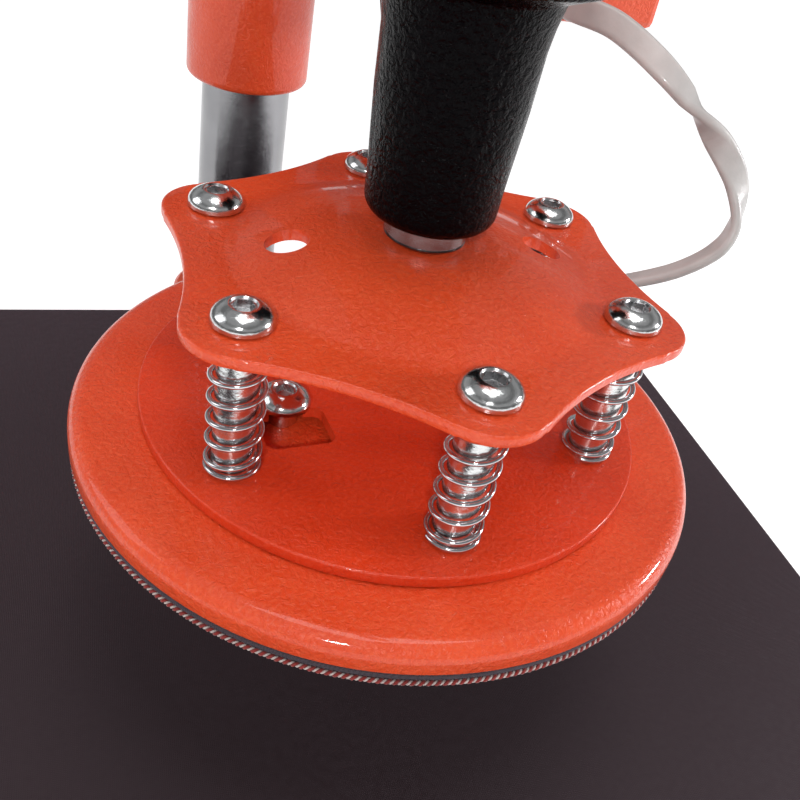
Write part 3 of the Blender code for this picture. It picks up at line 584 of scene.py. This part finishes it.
def dome(r):
    """Height of the pressed dome above the star's rim, at radius r."""
    def crown(radius):
        return DOME_H * (1 - ((radius - DOME_FLAT) / (DOME_R - DOME_FLAT)) ** 1.9)

    if r <= DOME_FLAT:
        return DOME_H
    if r >= FOOT_OUT:
        return 0.0
    if r < FOOT_IN:
        return crown(r)
    # a crease where the dome meets the flat rim
    return crown(FOOT_IN) * ((FOOT_OUT - r) / (FOOT_OUT - FOOT_IN)) ** 1.6


def build_star():
    """The star plate: one sheet of rings, with two holes and six screw seats cut out."""
    bore, edge = 0.0063, 0.0008
    hole_out, hole_back, hole_r, seat_r = 0.0340, 0.0015, 0.0055, 0.0056
    angles = [TAU * k / 432 for k in range(432)]
    rings_in, rings_out = 52, 10

    def radius(a, k):
        """Ring k's radius: circles over the dome, then out to the star's outline."""
        if k <= rings_in:
            return bore + (FOOT_OUT - bore) * k / rings_in
        return FOOT_OUT + (star_radius(a) - edge - FOOT_OUT) * (k - rings_in) / rings_out

    def face(k, base):
        return [tuple(round_hub(radius(a, k), a, base + dome(radius(a, k)))) for a in angles]

    rings = [face(k, STAR) for k in range(rings_in + rings_out + 1)]
    for c, z in arc(0, 0, edge, 80, -80, 10):
        height = STAR - edge + z if z > 0 else STAR - SHEET + edge + z
        rings.append([tuple(round_hub(star_radius(a) - edge + c, a, height)) for a in angles])
    rings += [face(k, STAR - SHEET) for k in reversed(range(rings_in + rings_out + 1))]
    bm = bmesh.new()
    add_rings(bm, rings, loop=True)
    star = finish_mesh("star_sheet", bm, ORANGE, 45.0)
    rounds = [circle(HUB.x + side * hole_out, HUB.y + hole_back, hole_r, 48) for side in (-1, 1)]
    rounds += [circle(spot.x, spot.y, seat_r, 40) for spot in SPOTS]
    cutters = [slab(f"hole_{k}", outline, STAR - 0.02, STAR + 0.03, ORANGE, 0.0001)
               for k, outline in enumerate(rounds)]
    return stand_for(carve(star, cutters, angle=45.0), "orange_coat", "star_plate")


def coil(low, high, radius, wire, turns, per_turn=40):
    """Compression spring's centreline about Z, with a closed turn at each end."""
    end = 2.15 * wire                       # the rise of a closed turn
    rise = (high - low - 2 * end) / (turns - 2)
    at = [turns * k / round(turns * per_turn) for k in range(round(turns * per_turn) + 1)]
    zs = np.array([low + end * n if n < 1 else high - end * (turns - n) if n > turns - 1
                   else low + end + rise * (n - 1) for n in at])
    # the rise changes over a part of a turn, not at a corner
    reach = 8
    soft = np.convolve(np.pad(zs, reach, mode="edge"), np.ones(2 * reach + 1) / (2 * reach + 1),
                       "valid")
    soft[:reach + 1], soft[-reach - 1:] = zs[:reach + 1], zs[-reach - 1:]
    return [(radius * math.cos(TAU * n), radius * math.sin(TAU * n), float(z))
            for n, z in zip(at, soft)]


def build_springs():
    wire, outer, turns = 0.00070, 0.0071, 7.5
    low, high = TOP + GAP + wire, STAR - SHEET - GAP - wire
    upper, lower = (body_of(NODES[n])[0] for n in ("star_plate", "adapter_disc"))
    for k, spot in enumerate(SPOTS, 1):
        turn = Matrix.Rotation(math.radians(47 * k), 3, "Z")       # each stands its own way
        pts = [turn @ Vector(p) + spot for p in coil(low, high, outer - wire, wire, turns)]
        piece = tube(f"coil_{k}", pts, wire, WIRE, 10)
        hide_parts(f"spring_{k}")
        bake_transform(piece, upper, lower, start=(spot.x, spot.y, high), end=(spot.x, spot.y, low))


def build_screw(name, node, at, shank, turn, shoulder=0.0040):
    """Button-head screw with a hexagon socket; its seat is at height 0."""
    top, rim, seat, mouth_r = 0.0046, 0.0073, 0.0009, 0.0036
    hex_r, hex_depth, chamfer = 0.0028, 0.0026, 0.0004
    rise = (top - seat) / math.sin(math.acos(mouth_r / rim))
    crown = [(rim * math.cos(math.radians(a)), seat + rise * math.sin(math.radians(a)))
             for a in range(55, -1, -5)]
    profile = [(0, top - 0.0001), (mouth_r, top)] + crown + [(rim, chamfer), (rim - chamfer, 0)]
    profile += [(shoulder, 0), (shoulder, -shank + chamfer), (shoulder - chamfer, -shank),
                (0, -shank)]
    piece = turned(name, profile, BOLT, at, 64, angle=34.0)
    spin = (Matrix.Translation(at) @ Matrix.Rotation(turn, 4, "Z")
            @ Matrix.Translation(-Vector(at)))
    socket = slab(name + "_socket", circle(at[0], at[1], hex_r, 6), at[2] + top - hex_depth,
                  at[2] + top + 0.004, SOCKET, 0.0001, spin)
    cone = [(0, -0.0005), (0.0029, -0.0005), (0.0034, 0.0002), (0.0035, 0.0009), (0, 0.0009)]
    mouth = turned(name + "_mouth", cone, SOCKET, (at[0], at[1], at[2] + top), 48)
    return stand_for(carve(piece, [socket, mouth], angle=34.0), "chrome", node)


def keyhole(angle):
    """Bayonet keyhole: a slot for the stud's shank that ends in a wide opening."""
    narrow, wide, corner = 0.0047, 0.0078, 0.003
    reach = STUD_CIRCLE * math.sin(BAYONET_TURN)
    near, far, mouth = reach - 0.0042, reach + 0.0047, reach - 0.0072
    inner, outer = -0.0017 - wide + corner, 0.0061
    shape = arc(0, 0, narrow, 90, 270, 16) + [(mouth, -narrow)]
    shape += arc(near, inner, corner, 180, 270, 6) + arc(far, inner, corner, 270, 360, 6)
    shape += arc(far, outer, corner, 0, 90, 6) + arc(near, outer, corner, 90, 180, 6)
    shape += [(mouth, narrow)]
    c, s = math.cos(angle), math.sin(angle)
    return [(HUB.x + STUD_CIRCLE * c - u * s + v * c, HUB.y + STUD_CIRCLE * s + u * c + v * s)
            for u, v in shape]


def build_pan():
    """The orange pan over the heater, the dark pad below it and the pad's stitched edge."""
    hub = (HUB.x, HUB.y, 0)
    top = TOP - DISC_THICK - GAP
    low = top - 0.0078
    edge, rim, lip, skin = 0.0866, 0.0046, 0.0006, 0.0016
    ring_in, ring_out, ring_low = 0.0205, 0.0430, top - 0.0022     # shallow ring under the keyholes
    pan = [(0.0, top), (ring_in, top), (ring_in, ring_low), (ring_out, ring_low), (ring_out, top),
           (0.06, top), (0.078, top)]
    pan += arc(edge - rim, top - rim, rim, 90, 0, 16) + [(edge, low + lip)]
    pan += arc(edge - lip, low + lip, lip, 0, -90, 4)
    pan += [(edge - skin, low), (edge - skin, low + 0.0030), (0.0, low + 0.0050)]
    stand_for(turned("cover_pan", pan, ORANGE, hub, 288), "orange_coat", "platen_cover")
    band = [(0, low - GAP), (edge - 0.0010, low - GAP), (edge - 0.0004, low - 0.0008),
            (edge - 0.0004, low - 0.0019), (edge - 0.0023, low - 0.0026), (0, low - 0.0026)]
    stand_for(turned("pad_band", band, BAND, hub, 192, rounding=0.0004), "silicone",
              "platen_pad")

    # edge seam: two strands laid round each other
    count, twists, ring_r, ring_z, lay = 2880, 288, edge - 0.0009, low - 0.0036, 0.00034
    strands = []
    for k, (mat, thick) in enumerate(((THREAD_RED, 0.00040), (THREAD_WHITE, 0.00026))):
        pts = []
        for j in range(count):
            a, b = TAU * j / count, TAU * j * twists / count + math.pi * k
            pts.append(round_hub(ring_r + lay * math.cos(b), a, ring_z + lay * math.sin(b)))
        strands.append(tube(f"welt_strand_{k + 1}", pts, thick, mat, 6, loop=True))
    stand_for(strands[0], "welt", "edge_welt")
    ride_on(strands[1], "edge_welt")


def build_head():
    build_star()
    build_springs()
    for k, spot in enumerate(SPOTS, 1):
        build_screw(f"screw_{k}", f"bolt_{k}", (spot.x, spot.y, STAR + GAP), STAR - TOP + 0.0029,
                    math.radians(17 * k), shoulder=0.0052)
    for k, angle in enumerate(STUD_ANGLES):
        build_screw(f"stud_screw_{k + 1}", f"stud_{k + 1}",
                    tuple(round_hub(STUD_CIRCLE, angle, TOP + GAP)), 0.0060, 0.4 + k)
    # the disc takes the orange with painted shade, for the shadow of the star plate above it
    disc = slab("keyhole_disc", circle(HUB.x, HUB.y, DISC_R, 256), TOP - DISC_THICK, TOP,
                DISC_ORANGE_PAINTED_SHADE, 0.0006, steps=6)
    holes = [slab(f"keyhole_{k}", keyhole(angle), TOP - 0.01, TOP + 0.01, DISC_ORANGE_PAINTED_SHADE, 0.0001)
             for k, angle in enumerate(STUD_ANGLES)]
    stand_for(carve(disc, holes), "orange_coat", "adapter_disc")
    build_pan()


build_head()


# -------------------------------------------------- spindle, tube and column
SPINDLE_R = 0.0104


def build_spindle():
    """Bright spindle with a turned groove just above the star's dome."""
    yoke_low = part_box("lift_yoke")[0][2]
    centre = STAR + DOME_H
    r, neck, groove = SPINDLE_R, 0.0058, 0.0005
    profile = [(0, yoke_low + 0.008), (neck, yoke_low + 0.008), (neck, yoke_low - GAP),
               (r - 0.0006, yoke_low - GAP), (r, yoke_low - 0.0009),
               (r, centre + 0.0016), (r - groove, centre + 0.0014), (r - groove, centre + 0.0011),
               (r, centre + 0.0009), (r - 0.0006, centre + GAP), (neck, centre + GAP),
               (neck, STAR - 0.0058), (0, STAR - 0.0060)]
    stand_for(turned("turned_spindle", profile, STEEL, (SPINDLE.x, SPINDLE.y, 0), 128), "steel",
              "spindle")


def build_tube():
    """Black guide tube that flares to the beam, and the web behind it."""
    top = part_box("guide_tube")[1][2]
    low, tr, flare, bend = TOP + 0.0551, 0.0169, TOP + 0.0995, 0.0042
    outer = [(0.0300, top), (0.0300, top - 0.006), (0.0205, top - 0.010), (0.0192, flare + 0.004),
             (0.0186, flare - 0.001), (0.0181, TOP + 0.0850), (tr + 0.0006, TOP + 0.0760),
             (tr - 0.0001, TOP + 0.0660)]
    outer += arc(tr - 0.0046, low + bend, bend, 0, -90, 10)
    outer += [(SPINDLE_R + GAP, low), (SPINDLE_R + GAP, top)]
    body = turned("tube_body", soften(outer, 0.0016), BLACK, (0, -REACH, 0), 160, loop=True,
                  place=ARM)
    outline = [(0.0135, TOP + 0.066), (0.0410, TOP + 0.085), (0.0470, TOP + 0.093),
               (0.0590, top), (0.0135, top)]
    # the outline's (y, z) stands in the plane x = 0
    lay = Matrix(((0, 0, 1, 0), (1, 0, 0, 0), (0, 1, 0, 0), (0, 0, 0, 1)))
    web = slab("tube_web", outline, -0.004, 0.004, BLACK, 0.0012,
               ARM @ Matrix.Translation((0, -REACH, 0)) @ lay)
    stand_for(body, "black_coat", "guide_tube")
    ride_on(web, "guide_tube")


def build_column():
    low, high = (c[2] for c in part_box("column_post"))
    post = [(0.0150, low), (0.0150, high), (0.0180, high), (0.0190, high - 0.001), (0.0190, low)]
    stand_for(turned("chromed_column", post, COLUMN_CHROME, (0, COLUMN.y, 0), 128, loop=True),
              "chrome", "column_post")


def build_arm_parts():
    """Swing sleeve on the column and the hollow beam's outer shape."""
    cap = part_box("swing_arm")[1][2]
    low, sr, bore, rim, lip = TOP + 0.0153, 0.0259, 0.0193, 0.004, 0.0028
    profile = [(0, cap), (sr - rim, cap), (sr, cap - rim), (sr, low + lip)]
    profile += arc(sr - lip, low + lip, lip, -10, -90, 8)
    profile += [(bore, low), (bore, cap - 0.0083), (0, cap - 0.0083)]
    sleeve = turned("swing_sleeve", profile, ORANGE, (0, COLUMN.y, 0), 160)
    stand_for(sleeve, "orange_coat", "swing_arm")
    back, front, beam_mid = 0.0236, REACH + 0.030, TOP + 0.140
    outline = rounded_rect(0, beam_mid, 0.056, 0.040, 0.004, 6)
    # the outline's (x, z) stands up and is drawn out to -Y
    stand = Matrix(((1, 0, 0, 0), (0, 0, -1, 0), (0, 1, 0, 0), (0, 0, 0, 1)))
    beam = slab("arm_beam", outline, back, front, ORANGE, 0.0012, ARM @ stand)
    ride_on(beam, "swing_arm")


build_spindle()
build_tube()
build_column()
build_arm_parts()


# ------------------------------------------------------------------- bed
def build_bed():
    """Dark woven pad, and a thin pale bead on its upper edge that paints the edge's highlight."""
    low, high = (Vector(c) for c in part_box("lower_pad"))
    centre, size, corner = (low + high) / 2, high - low, 0.006
    outline, line = (rounded_rect(centre.x, centre.y, size.x - back, size.y - back, corner, 10)
                     for back in (0.0008, 0.0006))
    stand_for(slab("bed_pad", outline, low.z, high.z, PAD, 0.0010), "silicone", "lower_pad")
    # a thin pale bead that paints the highlight along the pad's upper edge
    pts = [(x, y, high.z - 0.0012) for x, y in spaced_loop(line, 0.004)]
    ride_on(tube("bed_edge_painted_highlight", pts, 0.0003, PAD_EDGE_PAINTED_HIGHLIGHT, 8, loop=True), "lower_pad")


def spaced_loop(line, step):
    """A closed outline with points no more than about step apart."""
    out = []
    for (x0, y0), (x1, y1) in zip(line, line[1:] + line[:1]):
        n = max(1, round(math.hypot(x1 - x0, y1 - y0) / step))
        out += [(x0 + (x1 - x0) * k / n, y0 + (y1 - y0) * k / n) for k in range(n)]
    return out


build_bed()


# ------------------------------------------------- lever, knobs, box, base
def stand_on(at, *turns):
    """Arm-frame place of a turned piece drawn along Z."""
    made = ARM @ Matrix.Translation(at)
    for angle, axis in turns:
        made = made @ Matrix.Rotation(angle, 4, axis)
    return made


def ribbed(profile, low, high, pitch, depth):
    """Profile with shallow grooves cut between two heights, top to bottom."""
    out = []
    for (r0, z0), (r1, z1) in zip(profile, profile[1:]):
        out.append((r0, z0))
        if abs(z1 - z0) < pitch:
            continue
        z = math.floor(min(z0, high) / pitch) * pitch
        while z > max(z1, low) + pitch:
            r = r0 + (r1 - r0) * (z0 - z) / (z0 - z1)
            out += [(r, z), (r - depth, z - pitch * 0.15), (r - depth, z - pitch * 0.35),
                    (r, z - pitch * 0.5)]
            z -= pitch
    return out + [profile[-1]]


def build_grip():
    """Ribbed rubber grip on the lever."""
    crank, rest, lever_rest = 0.062, math.radians(30.0), math.radians(50.0)
    pivot_y, pivot_z = -REACH + crank * math.cos(rest), TOP + 0.216
    along = 0.300 - 0.052                   # from the pivot to the grip's middle
    place = stand_on((0, pivot_y - along * math.cos(lever_rest),
                      pivot_z + along * math.sin(lever_rest)), (math.pi / 2 - lever_rest, "X"))
    side = [(0.0110, 0.0590), (0.0150, 0.0550), (0.0160, 0.0300), (0.0152, 0.0050),
            (0.0160, -0.0200), (0.0150, -0.0560), (0.0130, -0.0590)]
    grip = [(0, 0.0590)] + ribbed(side, -0.050, 0.048, 0.0044, 0.0007)
    grip += [(0.0098, -0.0590), (0.0098, 0.0525), (0, 0.0525)]
    stand_for(turned("grip_sleeve", soften(grip, 0.0009, 3, closed=False), RUBBER, steps=96,
                     place=place), "rubber", "lever_grip")


def build_knobs():
    """Lobed knob on the pressure screw, with its cap, and the fluted swing lock knob."""
    low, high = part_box("pressure_knob")
    lobes = []
    for a in (TAU * k / 240 for k in range(240)):
        r = 0.0200 + 0.0012 * math.cos(8 * a)
        lobes.append((SPINDLE.x + r * math.cos(a), SPINDLE.y + r * math.sin(a)))
    stand_for(slab("hand_knob", lobes, low[2], high[2], PLASTIC, 0.0028, steps=6),
              "black_plastic", "pressure_knob")
    cap = [(0, 0.0012), (0.0085, 0.0010), (0.0098, 0.0004), (0.0100, -0.0002), (0, -0.0002)]
    ride_on(turned("knob_cap", cap, CHROME, (SPINDLE.x, SPINDLE.y, high[2] - 0.0008), 64),
            "pressure_knob")

    lock = stand_on((-0.0264, 0, TOP + 0.130), (-math.pi / 2, "Z"), (math.pi / 2, "X"))
    end, neck, flute_r = 0.0300, 0.0040, 0.0022
    side = [(0.0120, end), (0.0145, 0.0270), (0.0145, 0.0150), (0.0120, 0.0120),
            (0.0080, 0.0110), (0.0080, GAP), (neck, GAP), (neck, -0.0055)]
    profile = [(0, end)] + soften(side, 0.0009, 4, closed=False) + [(0, -0.0055)]
    knob = turned("lock_knob", profile, PLASTIC, steps=96, place=lock)
    rod = [(0, 0.036), (flute_r, 0.036), (flute_r, 0.0136), (0, 0.0136)]
    flutes = [turned(f"flute_{k}", rod, PLASTIC, (x, y, 0), 16, place=lock)
              for k, (x, y) in enumerate(circle(0, 0, 0.0158, 12))]
    stand_for(carve(knob, flutes), "black_plastic", "swing_lock_knob")


def build_plug():
    plug = stand_on((0.0780, -0.0800, TOP + 0.0850), (math.pi / 2, "X"))
    tip, back = 0.0380, 0.0083
    side = [(0.0048, tip), (0.0062, 0.0290), (0.0070, 0.0280), (0.0090, 0.0260),
            (0.0090, 0.0090), (0.0084, back)]
    body = ribbed(soften(side, 0.0008, 3, closed=False), 0.0288, 0.0372, 0.0019, 0.0005)
    stand_for(turned("plug_body", [(0, tip)] + body + [(0, back)], BROWN, steps=72, place=plug),
              "black_plastic", "cable_plug")


def build_base_parts():
    """Rubber feet, and the flange that holds the column with its four screws."""
    foot = [(0, 0.012), (0.0128, 0.012), (0.0136, 0.0100), (0.0158, 0.0040), (0.0160, 0.0030),
            (0.0152, 0), (0.0060, 0), (0.0052, 0.002), (0, 0.002)]
    for k in range(1, 5):
        at = middle(f"foot_{k}")
        stand_for(turned(f"rubber_foot_{k}", soften(foot, 0.0006, 3, closed=False), RUBBER,
                         (at.x, at.y, 0), 64), "rubber", f"foot_{k}")

    low, high = (c[2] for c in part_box("column_socket"))
    socket = [(0.0193, low), (0.0193, high), (0.0270, high), (0.0290, high - 0.002),
              (0.0290, low + 0.0157), (0.0320, low + 0.0087), (0.0440, low + 0.0077),
              (0.0440, low)]
    stand_for(turned("socket_flange", soften(socket, 0.0014, 4), ORANGE, (0, COLUMN.y, 0), 144,
                     loop=True), "orange_coat", "column_socket")
    ring = 0.0380
    heads = [((ring * math.cos(a), COLUMN.y + ring * math.sin(a), low + 0.0079), (0, 0, 1))
             for a in (TAU * (k + 0.5) / 4 for k in range(4))]
    cap_screws("flange_screw", heads, 0.0042, "column_socket", Matrix.Identity(4))


def build_panel_parts():
    """Panel screws, the display's figures and the marks on the keys."""
    cx, front, base = 0.09175, -0.0833, TOP + 0.069
    spread, middle_up = 0.0385, 0.083
    corners = [((cx + sx * spread, front, base + middle_up + sz * spread), (0, -1, 0))
               for sx in (-1, 1) for sz in (-1, 1)]
    cap_screws("panel_screw", corners, 0.0020, "control_panel", ARM)
    display_digits(cx, front - 0.00195, base + 0.098)
    marks = {"key_down": [(0, -0.0022), (0.0022, 0.0016), (-0.0022, 0.0016)],
             "key_set": circle(0, 0, 0.0018, 24),
             "key_up": [(0, 0.0022), (-0.0022, -0.0016), (0.0022, -0.0016)]}
    key_step, key_up, key_face = 0.026, 0.052, front - 0.0027
    for k, (name, mark) in enumerate(marks.items()):
        lay = Matrix(((1, 0, 0, cx + (k - 1) * key_step), (0, 0, -1, key_face),
                      (0, 1, 0, base + key_up), (0, 0, 0, 1)))
        ride_on(slab(f"{name}_mark", mark, 0, 0.00055, PLASTIC, 0.0001, ARM @ lay),
                name)


def cap_screws(name, places, radius, node, frame_matrix):
    """Small pan-head screws with a cross slot."""
    high = radius * 0.55
    w, d = radius * 0.62, radius * 0.13     # half length and half width of the slots
    head_line = [(radius * math.sin(math.radians(a)), high * math.cos(math.radians(a)))
                 for a in range(0, 91, 10)]
    for k, (at, axis) in enumerate(places, 1):
        turn = Vector((0, 0, 1)).rotation_difference(Vector(axis)).to_matrix().to_4x4()
        place = frame_matrix @ Matrix.Translation(at) @ turn
        head = turned(f"{name}_{k}", head_line + [(0, 0)], CHROME, steps=40, place=place)
        slots = [slab(f"slot_{j}", [(-a, -b), (a, -b), (a, b), (-a, b)], high * 0.45, high * 1.6,
                      CHROME, 0.00002, place)
                 for j, (a, b) in enumerate(((w, d), (d, w)))]
        ride_on(carve(head, slots), node)


def display_digits(cx, y, z):
    """Three seven-segment figures over the display."""
    segments = {"1": "bc", "8": "abcdefg", "0": "abcdef"}
    w, h, t = 0.0080, 0.0150, 0.0012        # a figure's width and height, a stroke's width
    step, trim, proud = 0.0150, 0.0008, 0.00015
    strokes = {"a": (0, h / 2, w, t), "g": (0, 0, w, t), "d": (0, -h / 2, w, t),
               "b": (w / 2, h / 4, t, h / 2), "c": (w / 2, -h / 4, t, h / 2),
               "e": (-w / 2, -h / 4, t, h / 2), "f": (-w / 2, h / 4, t, h / 2)}
    bm = bmesh.new()
    for k, figure in enumerate("180"):
        for key in segments[figure]:
            x, up, sx, sz = strokes[key]
            x += cx + (k - 1) * step
            hw, hh = max(sx / 2 - trim, t / 2), max(sz / 2 - trim, t / 2)
            ring = [(x - hw, y, z + up - hh), (x + hw, y, z + up - hh),
                    (x + hw, y, z + up + hh), (x - hw, y, z + up + hh)]
            add_rings(bm, [ring, [(a, b - proud, c) for a, b, c in ring]])
    digits = finish_mesh("display_figures", bm, DIGIT, place=ARM)
    ride_on(digits, "display_window")


build_grip()
build_knobs()
build_plug()
build_base_parts()
build_panel_parts()


# ---------------------------------------------- CAD nodes keep their shapes
FINISHES = (
    (ORANGE, ("base_frame", "lever_bracket", "control_box", "lever")),
    (BLACK, ("platen_stand", "box_bracket", "lift_yoke")),
    (CHROME, ("pivot_pin", "crank_pin", "heater_socket", "spindle_nut", "pressure_screw")),
    (ALUMINIUM, ("lower_platen", "heater_plate")),
    (PLASTIC, ("control_panel", "mains_inlet", "cable_gland")),
    (GLASS, ("display_window",)),
    (KEY, ("key_down", "key_set", "key_up")),
    (RED, ("power_rocker",)),
)
for mat, names in FINISHES:
    for name in names:
        for slot in NODES[name].material_slots:
            slot.material = mat


# ------------------------------------------------------- floor and lights
def build_floor():
    """Pale floor with a soft glow of its own."""
    half, strips = 6.0, 24
    look = Look("pale_floor", (0.93, 0.93, 0.93), rough=0.9, Emission_Color=(1, 1, 1, 1))
    look.rough(look.ramp(look.noise(8.0), 0.85, 0.95))
    # the lamps fade with distance and the floor's own glow makes up for it
    away = look.node("ShaderNodeVectorMath", operation="LENGTH")
    look.join(look.coords, away.inputs[0])
    glow = look.ramp(away.outputs["Value"], 0.46, 0.82, 0.4, 2.2)
    look.join(glow, look.shader.inputs["Emission Strength"])
    bm = bmesh.new()
    for k in range(strips):
        x0, x1 = (-half + 2 * half * j / strips for j in (k, k + 1))
        bm.faces.new([bm.verts.new(p) for p in ((x0, -half, 0), (x1, -half, 0),
                                                (x1, half, 0), (x0, half, 0))])
    finish_mesh("floor", bm, look.mat)


def lamp(name, at, width, height, power, colour=(1, 1, 1)):
    """Rectangular lamp, in metres and watts, that faces the plate head."""
    data = bpy.data.lights.new(name, "AREA")
    data.shape, data.size, data.size_y = "RECTANGLE", width, height
    data.energy, data.color = power, colour
    obj = bpy.data.objects.new(name, data)
    bpy.context.scene.collection.objects.link(obj)
    obj.visible_camera = False
    obj.location = at
    ahead = Vector((HUB.x, HUB.y, TOP)) - Vector(at)
    obj.rotation_euler = ahead.to_track_quat("-Z", "Y").to_euler()


def build_world():
    """Banded room light for the metal to reflect, behind a plain pale backdrop."""
    world = bpy.data.worlds.new("studio")
    bpy.context.scene.world = world
    world.use_nodes = True
    nodes, links = world.node_tree.nodes, world.node_tree.links
    background = nodes["Background"]
    background.inputs["Strength"].default_value = 0.44
    coords, split, ramp, plain, mix, path = (
        nodes.new(f"ShaderNode{kind}") for kind in
        ("TexCoord", "SeparateXYZ", "ValToRGB", "Background", "MixShader", "LightPath"))
    links.new(coords.outputs["Generated"], split.inputs[0])
    links.new(split.outputs["Z"], ramp.inputs["Fac"])
    links.new(ramp.outputs["Color"], background.inputs["Color"])
    # what is seen behind the object is plain; the bands only light it
    plain.inputs["Color"].default_value = (1.0, 1.0, 1.0, 1)
    links.new(path.outputs["Is Camera Ray"], mix.inputs[0])
    links.new(background.outputs[0], mix.inputs[1])
    links.new(plain.outputs[0], mix.inputs[2])
    links.new(mix.outputs[0], nodes["World Output"].inputs[0])
    bands = ((0.0, 0.30), (0.20, 0.34), (0.34, 0.90), (0.52, 0.66), (0.66, 0.30), (0.85, 0.80),
             (1.0, 0.55))                   # share of the way up, brightness
    stops = ramp.color_ramp.elements
    stops.remove(stops[1])
    for k, (place, tone) in enumerate(bands):
        stop = stops[0] if k == 0 else stops.new(place)
        stop.position, stop.color = place, (tone, tone, tone * 1.01, 1)


def build_stage():
    build_floor()
    lamp("right_window", (1.28, -0.20, TOP + 0.34), 0.20, 0.15, 7.0, (1.0, 0.98, 1.0))
    lamp("left_window", (-1.3, 0.35, 1.0), 0.7, 0.8, 4.0, (0.97, 0.98, 1.0))
    lamp("front_window", (-0.45, -1.15, 0.95), 0.15, 0.12, 7.6, (1.0, 1.0, 0.99))
    lamp("ceiling", (0.05, -0.1, 1.5), 0.7, 0.7, 6.5)
    build_world()
    settings = bpy.context.scene.view_settings
    settings.view_transform, settings.look, settings.exposure = "Standard", "None", 0.0


build_stage()
